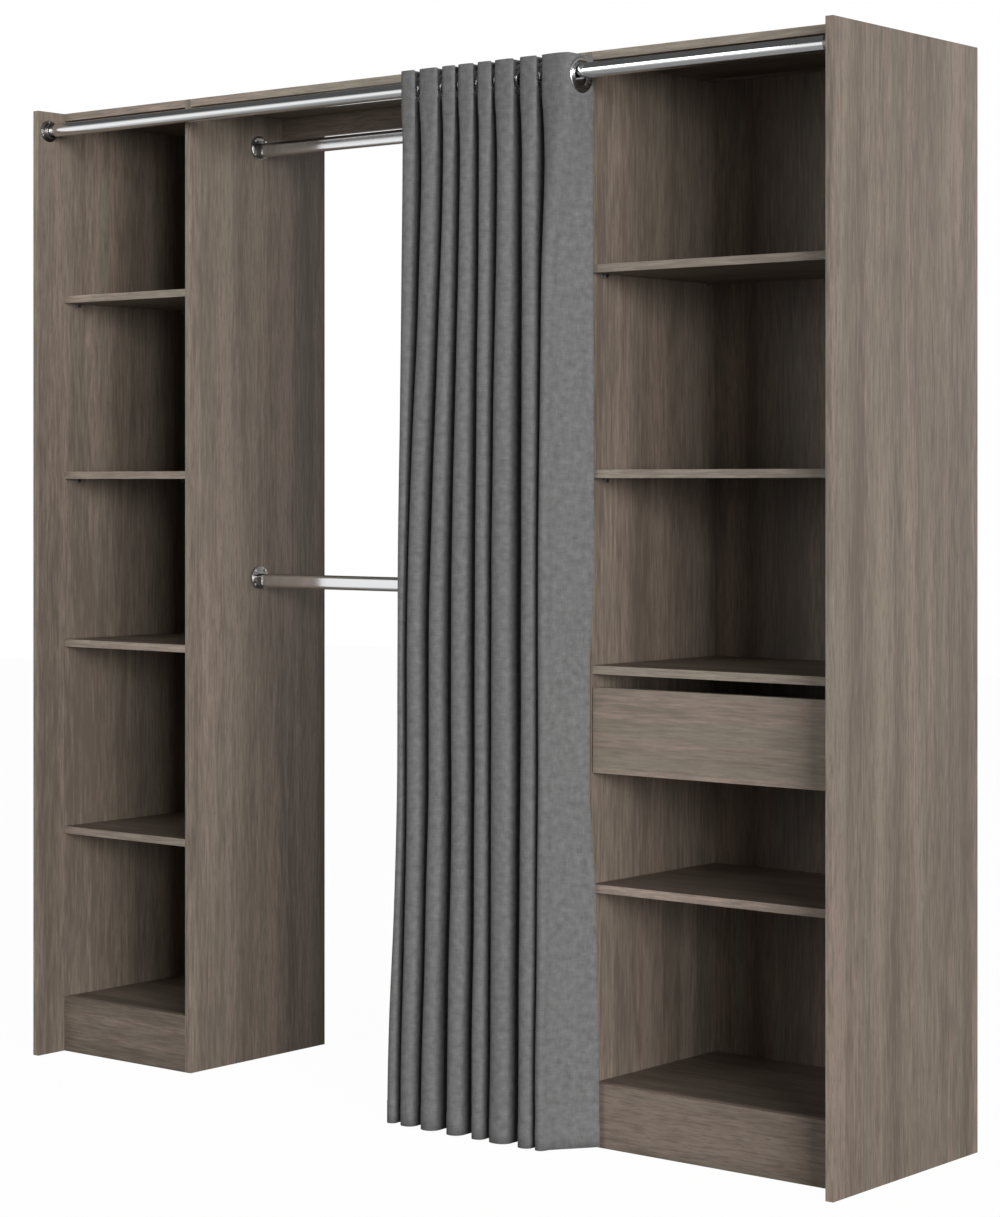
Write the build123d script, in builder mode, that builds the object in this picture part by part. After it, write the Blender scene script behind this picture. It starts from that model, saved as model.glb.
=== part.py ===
from build123d import *
import os

# A closet organizer in millimetres. X runs to the right, Y to the back and Z up from the floor.
# The origin is on the floor, in the middle of the width and depth of the whole piece.
# Two shelf towers with a hanging bay between them stand behind one curtain rod.

# Carcase
overall_width = 2036
overall_height = 2030
side_depth = 486
board_thickness = 16
left_tower_width = 403
right_tower_width = 594
plinth_height = 118

# Backs, let into grooves on all four sides
back_thickness = 3
back_rebate = 13
groove_depth = 6
groove_clearance = 0.2
groove_end_gap = 0.5

# Shelves, the top of each as a share of the overall height
shelf_top_shares = (0.80567, 0.61823, 0.43941, 0.2399)
shelf_fixings = ("pins", "pins", "cams", "pins")
shelf_back_gap = 1
shelf_end_play = 0.5

# Stiffening rail of the middle bay
middle_rail_height = 44
middle_rail_from_back = 120

# Dowels
dowel_radius = 4
dowel_length = 30
dowel_clearance = 0.1
dowel_end_play = 0.5
dowel_panel_web = 6.5
dowel_height_shares = (0.3, 0.7)

# Cam locks and their bolts
cam_setback = 34
cam_radius = 7.4
cam_clearance = 0.1
cam_roof = 3.5
cam_end_play = 0.2
cam_floor_share = 0.3
cam_slot_clearance = 0.5
cam_slot_width = 1.5
cam_slot_depth = 1.2
bolt_thread_radius = 3
bolt_shank_radius = 2.2
bolt_head_radius = 3.2
bolt_head_length = 3
bolt_panel_web = 4.5
bolt_clearance = 0.1
bolt_bore_radius = 3.6

# Rows of fittings along the depth of a fixed board
cam_from_front = 60
cam_from_back = 60
dowel_beside_cam = 32
middle_row_shift = 48

# Shelf pins, four under each loose shelf
pin_setback = 37
pin_plug_radius = 2.4
pin_plug_length = 7.5
pin_hole_radius = 2.5
pin_hole_depth = 8
pin_rest_width = 10
pin_rest_height = 7
pin_rest_reach = 8

# Screws of the sockets
screw_radius = 1.75
screw_clearance = 0.1
screw_hole_radius = 2
screw_head_radius = 3
screw_head_height = 1.8
screw_web = 4

# Hanging rails, oval tubes in open sockets
rail_height = 30
rail_width = 15
rail_wall = 1
rail_setback = 205
upper_rail_drop = 74
lower_rail_share = 0.50345
rail_end_gap = 0.5
rail_socket_radius = 25
rail_socket_thickness = 3
rail_socket_rise = 6
rail_socket_screw_offset = 15
cradle_wall = 2.2
cradle_clearance = 0.3
cradle_length = 14

# Curtain rod, a round tube in closed sockets
rod_radius = 14
rod_wall = 1.2
rod_setback = 30
rod_drop = 42
rod_end_gap = 0.5
rod_socket_radius = 23
rod_socket_thickness = 3
rod_cup_clearance = 0.3
rod_cup_wall = 2.5
rod_cup_length = 12
rod_screw_count = 3

# Eyelets, each a barrel through the cloth between two flat rings
eyelet_play = 7
eyelet_barrel_wall = 3
eyelet_ring_width = 9
eyelet_ring_thickness = 2.2
eyelet_cloth_gap = 0.3
eyelet_hang_gap = 0.3
eyelet_hole_gap = 0.5

# Curtain cloth, hanging in folds with one eyelet at each crossing of the rod
cloth_thickness = 1.6
cloth_above_rod = 31
cloth_above_floor = 4
back_turn_room = 9
front_turn_room = 11
turn_margin = 0.4
curtain_gap = 3
fold_overhang = 36
turn_share = 0.45
skirt_front_turn_radius = 30
skirt_back_turn_radius = 20
cloth_end_length = 24
heading_below_eyelet = 12
stack_past_panel = 10
stack_drawer_gap = 1.2
stack_flare = 17.2
upper_stack_width = 406.7
middle_stack_width = 401.6
lower_stack_width = 437.5
upper_crossing_shares = (
    0, 0.062, 0.113, 0.203, 0.255, 0.309, 0.353, 0.421,
    0.471, 0.529, 0.573, 0.662, 0.722, 0.798, 0.848, 1,
)
middle_crossing_shares = (
    0, 0.027, 0.051, 0.134, 0.193, 0.273, 0.333, 0.418,
    0.481, 0.543, 0.574, 0.679, 0.756, 0.828, 0.858, 1,
)
lower_crossing_shares = (
    0, 0.041, 0.074, 0.147, 0.189, 0.277, 0.344, 0.426,
    0.485, 0.543, 0.58, 0.676, 0.741, 0.809, 0.831, 1,
)
middle_front_shares = (0.55, 0.64, 0.68, 0.73, 0.66, 0.7, 0.66, 0.62)
lower_front_shares = (0.82, 0.9, 0.94, 1, 0.92, 0.97, 0.93, 0.88)
middle_back_shares = (0.88, 0.8, 0.93, 0.84, 0.88, 0.78, 0.86, 0.82, 1)
lower_back_shares = (0.6, 0.5, 0.65, 0.53, 0.61, 0.49, 0.59, 0.55, 1)

# Drawer
drawer_side_gap = 2
drawer_finger_gap = 24.5
drawer_front_height = 158.5
drawer_box_rise = 12
drawer_box_height = 118
drawer_box_length = 350
drawer_bottom_thickness = 3
drawer_bottom_rise = 10

# Roller runners, in the gap on each side of the drawer box
runner_gap = 12.5
runner_sheet = 1.2
runner_front_gap = 1.5
runner_slip = 0.8
runner_lip_gap = 0.6
runner_lip_length = 8
runner_screw_shares = (0.15, 0.5, 0.85)
runner_screw_web = 7
runner_screw_head_height = 1
roller_radius = 9
roller_width = 5.6
roller_rise = 14
roller_setback = 12
roller_clearance = 0.3
axle_radius = 2
axle_head_radius = 3.2
axle_head_thickness = 0.4

# One overrun for every cut that has to come out of a face
overrun = 1

# Depths. The towers stand back from the side panels by the room that rod and curtain need.
eyelet_inner_radius = rod_radius + eyelet_play
eyelet_barrel_radius = eyelet_inner_radius + eyelet_barrel_wall
eyelet_outer_radius = eyelet_barrel_radius + eyelet_ring_width
ledge_depth = rod_setback + eyelet_outer_radius + back_turn_room + curtain_gap
panel_front_y = -(side_depth - fold_overhang) / 2
panel_back_y = panel_front_y + side_depth
tower_front_y = panel_front_y + ledge_depth
back_to_y = panel_back_y - back_rebate
back_from_y = back_to_y - back_thickness
shelf_back_y = back_from_y - shelf_back_gap
bottom_front_y = tower_front_y + board_thickness

# Widths
left_side_x = -overall_width / 2
right_side_x = overall_width / 2
left_bay_from_x = left_side_x + board_thickness
left_bay_to_x = left_side_x + left_tower_width - board_thickness
middle_bay_from_x = left_bay_to_x + board_thickness
right_bay_from_x = right_side_x - right_tower_width + board_thickness
middle_bay_to_x = right_bay_from_x - board_thickness
right_bay_to_x = right_side_x - board_thickness

# Heights
top_board_z = overall_height - board_thickness
bottom_board_z = plinth_height - board_thickness
shelf_tops = [share * overall_height for share in shelf_top_shares]
fixed_shelf_z = shelf_tops[shelf_fixings.index("cams")] - board_thickness
middle_rail_z = top_board_z - middle_rail_height

# Places of the rails and the rod
rail_y = tower_front_y + rail_setback
upper_rail_z = top_board_z - upper_rail_drop
lower_rail_z = lower_rail_share * overall_height
rod_y = panel_front_y + rod_setback
rod_z = overall_height - rod_drop
middle_rail_to_y = panel_back_y - middle_rail_from_back
middle_rail_from_y = middle_rail_to_y - board_thickness

# Rows of fittings
tower_cam_rows = (tower_front_y + cam_from_front, panel_back_y - cam_from_back)
tower_dowel_rows = (tower_cam_rows[0] + dowel_beside_cam, tower_cam_rows[1] - dowel_beside_cam)
middle_cam_rows = (tower_cam_rows[0] + middle_row_shift, tower_cam_rows[1] - middle_row_shift)
middle_dowel_rows = (tower_dowel_rows[0] + middle_row_shift, tower_dowel_rows[1] - middle_row_shift)
plinth_dowel_y = tower_front_y + board_thickness / 2
plinth_dowel_heights = [share * plinth_height for share in dowel_height_shares]
middle_rail_dowel_y = middle_rail_from_y + board_thickness / 2
middle_rail_dowel_heights = [middle_rail_z + share * middle_rail_height for share in dowel_height_shares]
pin_rows = (tower_front_y + pin_setback, shelf_back_y - pin_setback)

# Depths of bores
dowel_panel_depth = board_thickness - dowel_panel_web
dowel_board_depth = dowel_length - dowel_panel_depth + dowel_end_play
cam_pocket_radius = cam_radius + cam_clearance
cam_pocket_depth = board_thickness - cam_roof
bolt_panel_depth = board_thickness - bolt_panel_web
screw_depth = board_thickness - screw_web

# Drawer and runners
drawer_front_from_x = right_bay_from_x + drawer_side_gap
drawer_front_to_x = right_bay_to_x - drawer_side_gap
drawer_front_top_z = fixed_shelf_z - drawer_finger_gap
drawer_front_z = drawer_front_top_z - drawer_front_height
drawer_box_from_x = right_bay_from_x + runner_gap
drawer_box_to_x = right_bay_to_x - runner_gap
drawer_box_front_y = tower_front_y + board_thickness
drawer_box_back_y = drawer_box_front_y + drawer_box_length
drawer_box_z = drawer_front_z + drawer_box_rise
drawer_box_top_z = drawer_box_z + drawer_box_height
drawer_bottom_z = drawer_box_z + drawer_bottom_rise
drawer_bottom_top_z = drawer_bottom_z + drawer_bottom_thickness
drawer_inner_from_x = drawer_box_from_x + board_thickness
drawer_inner_to_x = drawer_box_to_x - board_thickness
drawer_back_from_y = drawer_box_back_y - board_thickness
drawer_back_z = drawer_bottom_top_z + groove_clearance
drawer_dowel_heights = [drawer_box_z + share * drawer_box_height for share in dowel_height_shares]
runner_front_y = drawer_box_front_y + runner_front_gap
roller_z = drawer_box_z + roller_rise
lower_flange_top_z = roller_z - roller_radius - roller_clearance
drawer_flange_z = roller_z + roller_radius + roller_clearance
cabinet_lip_z = drawer_flange_z + runner_sheet + runner_lip_gap
roller_near = (runner_gap - roller_width) / 2
roller_far = (runner_gap + roller_width) / 2
cabinet_roller_y = runner_front_y + roller_setback
drawer_roller_y = drawer_box_back_y - roller_setback
cabinet_screw_rows = [runner_front_y + share * drawer_box_length for share in runner_screw_shares]
drawer_screw_rows = [drawer_box_front_y + share * drawer_box_length for share in runner_screw_shares]
runner_screw_depth = board_thickness - runner_screw_web

# Each tower bay with its name, each fixed board with its ends, its underside and its two rows
towers = (("left", left_bay_from_x, left_bay_to_x), ("right", right_bay_from_x, right_bay_to_x))
tower_board_heights = (top_board_z, fixed_shelf_z, bottom_board_z)
fixed_boards = [
    (from_x, to_x, low_z, tower_cam_rows, tower_dowel_rows)
    for side, from_x, to_x in towers
    for low_z in tower_board_heights
]
fixed_boards.append(
    (middle_bay_from_x, middle_bay_to_x, top_board_z, middle_cam_rows, middle_dowel_rows)
)

# Screws of a curtain rod's socket, spread round the cup as (Y, Z) places
rod_cup_inner = rod_radius + rod_cup_clearance
rod_screw_ring = (rod_cup_inner + rod_cup_wall + rod_socket_radius) / 2
rod_screw_spots = PolarLocations(rod_screw_ring, rod_screw_count, start_angle=90).locations
rod_screw_places = [(rod_y + spot.position.X, rod_z + spot.position.Y) for spot in rod_screw_spots]

os.makedirs("parts", exist_ok=True)


def block(from_x, to_x, from_y, to_y, from_z, to_z, mode=Mode.ADD):
    """A rectangular block between six planes, added to the piece or cut out of it."""
    with BuildSketch(Plane.XY.offset(from_z)) as footprint:
        with Locations(((from_x + to_x) / 2, (from_y + to_y) / 2)):
            Rectangle(abs(to_x - from_x), abs(to_y - from_y))
    extrude(footprint.sketch, amount=to_z - from_z, mode=mode)


def round_along_x(places, radius, from_x, to_x, mode=Mode.ADD):
    """Round bars or bores along X, one at each (Y, Z) place."""
    with BuildSketch(Plane.YZ.offset(from_x)) as section:
        with Locations(*places):
            Circle(radius)
    extrude(section.sketch, amount=to_x - from_x, mode=mode)


def round_along_y(places, radius, from_y, to_y, mode=Mode.ADD):
    """Round bars or bores along Y, one at each (X, Z) place."""
    with BuildSketch(Plane.XZ.offset(-from_y)) as section:
        with Locations(*places):
            Circle(radius)
    extrude(section.sketch, amount=from_y - to_y, mode=mode)


def at_height(rows, height):
    """The (Y, Z) places of a row of fittings that lie at one height."""
    return [(row, height) for row in rows]


def cut_fitting_seats(from_x, to_x, low_z, cam_rows, dowel_rows):
    """Cam pockets, bolt bores and dowel holes in both ends of a fixed board."""
    mid_z = low_z + board_thickness / 2
    for end_x, inward in ((from_x, 1), (to_x, -1)):
        cam_x = end_x + inward * cam_setback
        outside_x = end_x - inward * overrun
        with BuildSketch(Plane.XY.offset(low_z - overrun)) as pockets:
            with Locations(*[(cam_x, row) for row in cam_rows]):
                Circle(cam_pocket_radius)
        extrude(pockets.sketch, amount=overrun + cam_pocket_depth, mode=Mode.SUBTRACT)
        round_along_x(at_height(cam_rows, mid_z), bolt_bore_radius, outside_x, cam_x, Mode.SUBTRACT)
        dowel_end_x = end_x + inward * dowel_board_depth
        dowel_bore = dowel_radius + dowel_clearance
        round_along_x(at_height(dowel_rows, mid_z), dowel_bore, outside_x, dowel_end_x, Mode.SUBTRACT)


def cut_panel_seats(face_x, into):
    """Bolt and dowel holes in a panel's face for every fixed board that ends there."""
    outside_x = face_x - into * overrun
    for from_x, to_x, low_z, cam_rows, dowel_rows in fixed_boards:
        if face_x in (from_x, to_x):
            mid_z = low_z + board_thickness / 2
            bolt_hole = bolt_thread_radius + bolt_clearance
            bolt_end_x = face_x + into * bolt_panel_depth
            round_along_x(at_height(cam_rows, mid_z), bolt_hole, outside_x, bolt_end_x, Mode.SUBTRACT)
            cut_panel_dowel_holes(at_height(dowel_rows, mid_z), face_x, into)


def cut_panel_dowel_holes(places, face_x, into):
    """Blind dowel holes in a panel's face."""
    outside_x = face_x - into * overrun
    hole_end_x = face_x + into * (dowel_panel_depth + dowel_end_play)
    round_along_x(places, dowel_radius + dowel_clearance, outside_x, hole_end_x, Mode.SUBTRACT)


def cut_pilot_holes(places, face_x, into, depth):
    """Screw holes in a panel's face."""
    outside_x = face_x - into * overrun
    pilot_end_x = face_x + into * (depth + screw_clearance)
    round_along_x(places, screw_radius + screw_clearance, outside_x, pilot_end_x, Mode.SUBTRACT)


def rail_screw_places(axis_z):
    """The four screws of a hanging rail's socket."""
    plate_z = axis_z + rail_socket_rise
    offset = rail_socket_screw_offset
    return [(rail_y + a * offset, plate_z + b * offset) for a in (-1, 1) for b in (-1, 1)]


def pin_places():
    """The shelf pins on one panel's face, at the middle of each pin's height."""
    loose_tops = [top for top, fixing in zip(shelf_tops, shelf_fixings) if fixing == "pins"]
    heights = [top - board_thickness - pin_rest_height / 2 for top in loose_tops]
    return [(row, height) for row in pin_rows for height in heights]


def cut_tower_face(face_x, into):
    """Everything that a tower leaves in the face of a panel beside it."""
    cut_panel_seats(face_x, into)
    cut_panel_dowel_holes([(plinth_dowel_y, height) for height in plinth_dowel_heights], face_x, into)
    pin_hole_x = face_x + into * pin_hole_depth
    round_along_x(pin_places(), pin_hole_radius, face_x - into * overrun, pin_hole_x, Mode.SUBTRACT)
    block(
        face_x - into * overrun,
        face_x + into * groove_depth,
        back_from_y - groove_clearance,
        back_to_y + groove_clearance,
        plinth_height - groove_depth,
        top_board_z + groove_depth,
        Mode.SUBTRACT,
    )


def cut_middle_face(face_x, into):
    """Everything that the hanging bay leaves in the face of an inner panel."""
    cut_panel_seats(face_x, into)
    rail_dowels = [(middle_rail_dowel_y, height) for height in middle_rail_dowel_heights]
    cut_panel_dowel_holes(rail_dowels, face_x, into)
    for axis_z in (upper_rail_z, lower_rail_z):
        cut_pilot_holes(rail_screw_places(axis_z), face_x, into, screw_depth)


# Side panels, full height and full depth, with the rod sockets near their front edges
with BuildPart() as left_side_panel:
    block(left_side_x, left_bay_from_x, panel_front_y, panel_back_y, 0, overall_height)
    cut_tower_face(left_bay_from_x, -1)
    cut_pilot_holes(rod_screw_places, left_bay_from_x, -1, screw_depth)
left_side_panel.part.label = "left_side_panel"
export_step(left_side_panel.part, "parts/left_side_panel.step")

with BuildPart() as right_side_panel:
    block(right_bay_to_x, right_side_x, panel_front_y, panel_back_y, 0, overall_height)
    cut_tower_face(right_bay_to_x, 1)
    cut_pilot_holes(rod_screw_places, right_bay_to_x, 1, screw_depth)
    cut_pilot_holes(at_height(cabinet_screw_rows, roller_z), right_bay_to_x, 1, runner_screw_depth)
right_side_panel.part.label = "right_side_panel"
export_step(right_side_panel.part, "parts/right_side_panel.step")

# Inner panels, set back to leave the ledge in front for rod and curtain
with BuildPart() as left_inner_panel:
    block(left_bay_to_x, middle_bay_from_x, tower_front_y, panel_back_y, 0, overall_height)
    cut_tower_face(left_bay_to_x, 1)
    cut_middle_face(middle_bay_from_x, -1)
left_inner_panel.part.label = "left_inner_panel"
export_step(left_inner_panel.part, "parts/left_inner_panel.step")

with BuildPart() as right_inner_panel:
    block(middle_bay_to_x, right_bay_from_x, tower_front_y, panel_back_y, 0, overall_height)
    cut_tower_face(right_bay_from_x, -1)
    cut_middle_face(middle_bay_to_x, 1)
    cut_pilot_holes(at_height(cabinet_screw_rows, roller_z), right_bay_from_x, -1, runner_screw_depth)
right_inner_panel.part.label = "right_inner_panel"
export_step(right_inner_panel.part, "parts/right_inner_panel.step")

# Top board of the hanging bay
with BuildPart() as middle_top_board:
    block(middle_bay_from_x, middle_bay_to_x, tower_front_y, panel_back_y, top_board_z, overall_height)
    cut_fitting_seats(middle_bay_from_x, middle_bay_to_x, top_board_z, middle_cam_rows, middle_dowel_rows)
middle_top_board.part.label = "middle_top_board"
export_step(middle_top_board.part, "parts/middle_top_board.step")

# Stiffening rail, on edge under the top board of the hanging bay
with BuildPart() as middle_rail:
    block(
        middle_bay_from_x,
        middle_bay_to_x,
        middle_rail_from_y,
        middle_rail_to_y,
        middle_rail_z,
        top_board_z,
    )
    for end_x, inward in ((middle_bay_from_x, 1), (middle_bay_to_x, -1)):
        round_along_x(
            [(middle_rail_dowel_y, height) for height in middle_rail_dowel_heights],
            dowel_radius + dowel_clearance,
            end_x - inward * overrun,
            end_x + inward * dowel_board_depth,
            Mode.SUBTRACT,
        )
middle_rail.part.label = "middle_rail"
export_step(middle_rail.part, "parts/middle_rail.step")

# Boards of the two towers
for side, from_x, to_x in towers:
    # Top board, grooved underneath for the back
    with BuildPart() as top_board:
        block(from_x, to_x, tower_front_y, panel_back_y, top_board_z, overall_height)
        cut_fitting_seats(from_x, to_x, top_board_z, tower_cam_rows, tower_dowel_rows)
        block(
            from_x - overrun,
            to_x + overrun,
            back_from_y - groove_clearance,
            back_to_y + groove_clearance,
            top_board_z - overrun,
            top_board_z + groove_depth,
            Mode.SUBTRACT,
        )
    top_board.part.label = f"{side}_top_board"
    export_step(top_board.part, f"parts/{side}_top_board.step")

    # Bottom board, behind the plinth and grooved on top for the back
    with BuildPart() as bottom_board:
        block(from_x, to_x, bottom_front_y, panel_back_y, bottom_board_z, plinth_height)
        cut_fitting_seats(from_x, to_x, bottom_board_z, tower_cam_rows, tower_dowel_rows)
        block(
            from_x - overrun,
            to_x + overrun,
            back_from_y - groove_clearance,
            back_to_y + groove_clearance,
            plinth_height - groove_depth,
            plinth_height + overrun,
            Mode.SUBTRACT,
        )
    bottom_board.part.label = f"{side}_bottom_board"
    export_step(bottom_board.part, f"parts/{side}_bottom_board.step")

    # Plinth, flush with the top of the bottom board and doweled to both panels
    with BuildPart() as plinth:
        block(from_x, to_x, tower_front_y, bottom_front_y, 0, plinth_height)
        for end_x, inward in ((from_x, 1), (to_x, -1)):
            round_along_x(
                [(plinth_dowel_y, height) for height in plinth_dowel_heights],
                dowel_radius + dowel_clearance,
                end_x - inward * overrun,
                end_x + inward * dowel_board_depth,
                Mode.SUBTRACT,
            )
    plinth.part.label = f"{side}_plinth"
    export_step(plinth.part, f"parts/{side}_plinth.step")

    # Shelves, one of them fixed with cams and the others loose on pins
    for number, top_z in enumerate(shelf_tops, start=1):
        is_fixed = shelf_fixings[number - 1] == "cams"
        end_play = 0 if is_fixed else shelf_end_play
        low_z = top_z - board_thickness
        with BuildPart() as shelf:
            block(from_x + end_play, to_x - end_play, tower_front_y, shelf_back_y, low_z, top_z)
            if is_fixed:
                cut_fitting_seats(from_x, to_x, low_z, tower_cam_rows, tower_dowel_rows)
        shelf.part.label = f"{side}_shelf_{number}"
        export_step(shelf.part, f"parts/{side}_shelf_{number}.step")

    # Thin back, held in the grooves all round
    reach = groove_depth - groove_end_gap
    with BuildPart() as back_panel:
        block(
            from_x - reach,
            to_x + reach,
            back_from_y,
            back_to_y,
            plinth_height - reach,
            top_board_z + reach,
        )
    back_panel.part.label = f"{side}_back_panel"
    export_step(back_panel.part, f"parts/{side}_back_panel.step")

    # Shelf pins: a plug in the panel and a flat rest under the shelf
    with BuildPart() as shelf_pins:
        for face_x, into in ((from_x, -1), (to_x, 1)):
            plug_end_x = face_x + into * pin_plug_length
            round_along_x(pin_places(), pin_plug_radius, face_x, plug_end_x)
            with BuildSketch(Plane.YZ.offset(face_x)):
                with Locations(*pin_places()):
                    Rectangle(pin_rest_width, pin_rest_height)
            extrude(amount=-into * pin_rest_reach)
    shelf_pins.part.label = f"{side}_shelf_pins"
    export_step(shelf_pins.part, f"parts/{side}_shelf_pins.step")

# Dowels between boards and panels
with BuildPart() as dowels:
    for from_x, to_x, low_z, cam_rows, dowel_rows in fixed_boards:
        places = at_height(dowel_rows, low_z + board_thickness / 2)
        for end_x, inward in ((from_x, 1), (to_x, -1)):
            start_x = end_x - inward * dowel_panel_depth
            round_along_x(places, dowel_radius, start_x, start_x + inward * dowel_length)
    for side, from_x, to_x in towers:
        places = [(plinth_dowel_y, height) for height in plinth_dowel_heights]
        for end_x, inward in ((from_x, 1), (to_x, -1)):
            start_x = end_x - inward * dowel_panel_depth
            round_along_x(places, dowel_radius, start_x, start_x + inward * dowel_length)
    places = [(middle_rail_dowel_y, height) for height in middle_rail_dowel_heights]
    for end_x, inward in ((middle_bay_from_x, 1), (middle_bay_to_x, -1)):
        start_x = end_x - inward * dowel_panel_depth
        round_along_x(places, dowel_radius, start_x, start_x + inward * dowel_length)
dowels.part.label = "dowels"
export_step(dowels.part, "parts/dowels.step")

# Cam bolts: a thread in the panel, a shank along the board's bore and a head inside the cam
with BuildPart() as cam_bolts:
    for from_x, to_x, low_z, cam_rows, dowel_rows in fixed_boards:
        places = at_height(cam_rows, low_z + board_thickness / 2)
        for end_x, inward in ((from_x, 1), (to_x, -1)):
            cam_x = end_x + inward * cam_setback
            head_end_x = cam_x + inward * bolt_head_length / 2
            head_start_x = head_end_x - inward * bolt_head_length
            round_along_x(places, bolt_thread_radius, end_x - inward * bolt_panel_depth, end_x)
            round_along_x(places, bolt_shank_radius, end_x, head_start_x)
            round_along_x(places, bolt_head_radius, head_start_x, head_end_x)
cam_bolts.part.label = "cam_bolts"
export_step(cam_bolts.part, "parts/cam_bolts.step")

# Cam locks: a drum in the board's pocket, open towards the bolt, with a driver slot underneath
cam_height = cam_pocket_depth - cam_end_play
cam_floor = cam_floor_share * cam_height
cam_throat = bolt_head_radius + cam_slot_clearance
with BuildPart() as cam_locks:
    for from_x, to_x, low_z, cam_rows, dowel_rows in fixed_boards:
        for end_x, inward in ((from_x, 1), (to_x, -1)):
            cam_x = end_x + inward * cam_setback
            with BuildSketch(Plane.XY.offset(low_z)):
                with Locations(*[(cam_x, row) for row in cam_rows]):
                    Circle(cam_radius)
            extrude(amount=cam_height)
            for row in cam_rows:
                block(
                    cam_x - inward * (cam_radius + overrun),
                    cam_x + inward * (bolt_head_length / 2 + cam_slot_clearance),
                    row - cam_throat,
                    row + cam_throat,
                    low_z + cam_floor,
                    low_z + cam_height + overrun,
                    Mode.SUBTRACT,
                )
                block(
                    cam_x - cam_radius / 2,
                    cam_x + cam_radius / 2,
                    row - cam_slot_width / 2,
                    row + cam_slot_width / 2,
                    low_z - overrun,
                    low_z + cam_slot_depth,
                    Mode.SUBTRACT,
                )
cam_locks.part.label = "cam_locks"
export_step(cam_locks.part, "parts/cam_locks.step")

# Hanging rails, oval tubes between the inner panels
rails = (("upper", upper_rail_z), ("lower", lower_rail_z))
rail_from_x = middle_bay_from_x + rail_socket_thickness + rail_end_gap
rail_to_x = middle_bay_to_x - rail_socket_thickness - rail_end_gap
for level, axis_z in rails:
    with BuildPart() as hanging_rail:
        with BuildSketch(Plane.YZ.offset(rail_from_x)):
            with Locations((rail_y, axis_z)):
                SlotOverall(rail_height, rail_width, rotation=90)
                bore_height = rail_height - rail_wall - rail_wall
                bore_width = rail_width - rail_wall - rail_wall
                SlotOverall(bore_height, bore_width, rotation=90, mode=Mode.SUBTRACT)
        extrude(amount=rail_to_x - rail_from_x)
    hanging_rail.part.label = f"{level}_hanging_rail"
    export_step(hanging_rail.part, f"parts/{level}_hanging_rail.step")

    # Sockets of the rail: a round plate on the panel with a cradle that is open at the top
    for hand, face_x, out in (("left", middle_bay_from_x, 1), ("right", middle_bay_to_x, -1)):
        with BuildPart() as rail_socket:
            with BuildSketch(Plane.YZ.offset(face_x)):
                with Locations((rail_y, axis_z + rail_socket_rise)):
                    Circle(rail_socket_radius)
                with Locations(*rail_screw_places(axis_z)):
                    Circle(screw_hole_radius, mode=Mode.SUBTRACT)
            extrude(amount=out * rail_socket_thickness)
            inner_height = rail_height + cradle_clearance + cradle_clearance
            inner_width = rail_width + cradle_clearance + cradle_clearance
            outer_height = inner_height + cradle_wall + cradle_wall
            outer_width = inner_width + cradle_wall + cradle_wall
            arm_top_z = axis_z + (rail_height - rail_width) / 2
            with BuildSketch(Plane.YZ.offset(face_x + out * rail_socket_thickness)):
                with Locations((rail_y, axis_z)):
                    SlotOverall(outer_height, outer_width, rotation=90)
                    SlotOverall(inner_height, inner_width, rotation=90, mode=Mode.SUBTRACT)
                with Locations((rail_y, arm_top_z + outer_height / 2)):
                    Rectangle(outer_width + overrun, outer_height, mode=Mode.SUBTRACT)
            extrude(amount=out * cradle_length)
        rail_socket.part.label = f"{level}_rail_{hand}_socket"
        export_step(rail_socket.part, f"parts/{level}_rail_{hand}_socket.step")

# Curtain rod, a round tube between the side panels
rod_from_x = left_bay_from_x + rod_socket_thickness + rod_end_gap
rod_to_x = right_bay_to_x - rod_socket_thickness - rod_end_gap
with BuildPart() as curtain_rod:
    with BuildSketch(Plane.YZ.offset(rod_from_x)):
        with Locations((rod_y, rod_z)):
            Circle(rod_radius)
            Circle(rod_radius - rod_wall, mode=Mode.SUBTRACT)
    extrude(amount=rod_to_x - rod_from_x)
curtain_rod.part.label = "curtain_rod"
export_step(curtain_rod.part, "parts/curtain_rod.step")

# Sockets of the curtain rod: a round plate with a closed cup
for hand, face_x, out in (("left", left_bay_from_x, 1), ("right", right_bay_to_x, -1)):
    with BuildPart() as rod_socket:
        with BuildSketch(Plane.YZ.offset(face_x)):
            with Locations((rod_y, rod_z)):
                Circle(rod_socket_radius)
            with Locations(*rod_screw_places):
                Circle(screw_hole_radius, mode=Mode.SUBTRACT)
        extrude(amount=out * rod_socket_thickness)
        with BuildSketch(Plane.YZ.offset(face_x + out * rod_socket_thickness)):
            with Locations((rod_y, rod_z)):
                Circle(rod_cup_inner + rod_cup_wall)
                Circle(rod_cup_inner, mode=Mode.SUBTRACT)
        extrude(amount=out * rod_cup_length)
    rod_socket.part.label = f"{hand}_curtain_rod_socket"
    export_step(rod_socket.part, f"parts/{hand}_curtain_rod_socket.step")

# Screws of all the sockets, with a pan head on the plate and the shank in the panel
socket_screw_groups = [
    (rail_screw_places(axis_z), face_x, out, rail_socket_thickness)
    for level, axis_z in rails
    for face_x, out in ((middle_bay_from_x, 1), (middle_bay_to_x, -1))
]
for face_x, out in ((left_bay_from_x, 1), (right_bay_to_x, -1)):
    socket_screw_groups.append((rod_screw_places, face_x, out, rod_socket_thickness))
with BuildPart() as socket_screws:
    for places, face_x, out, plate_thickness in socket_screw_groups:
        plate_x = face_x + out * plate_thickness
        round_along_x(places, screw_radius, face_x - out * screw_depth, plate_x)
        round_along_x(places, screw_head_radius, plate_x, plate_x + out * screw_head_height)
socket_screws.part.label = "socket_screws"
export_step(socket_screws.part, "parts/socket_screws.step")

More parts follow.
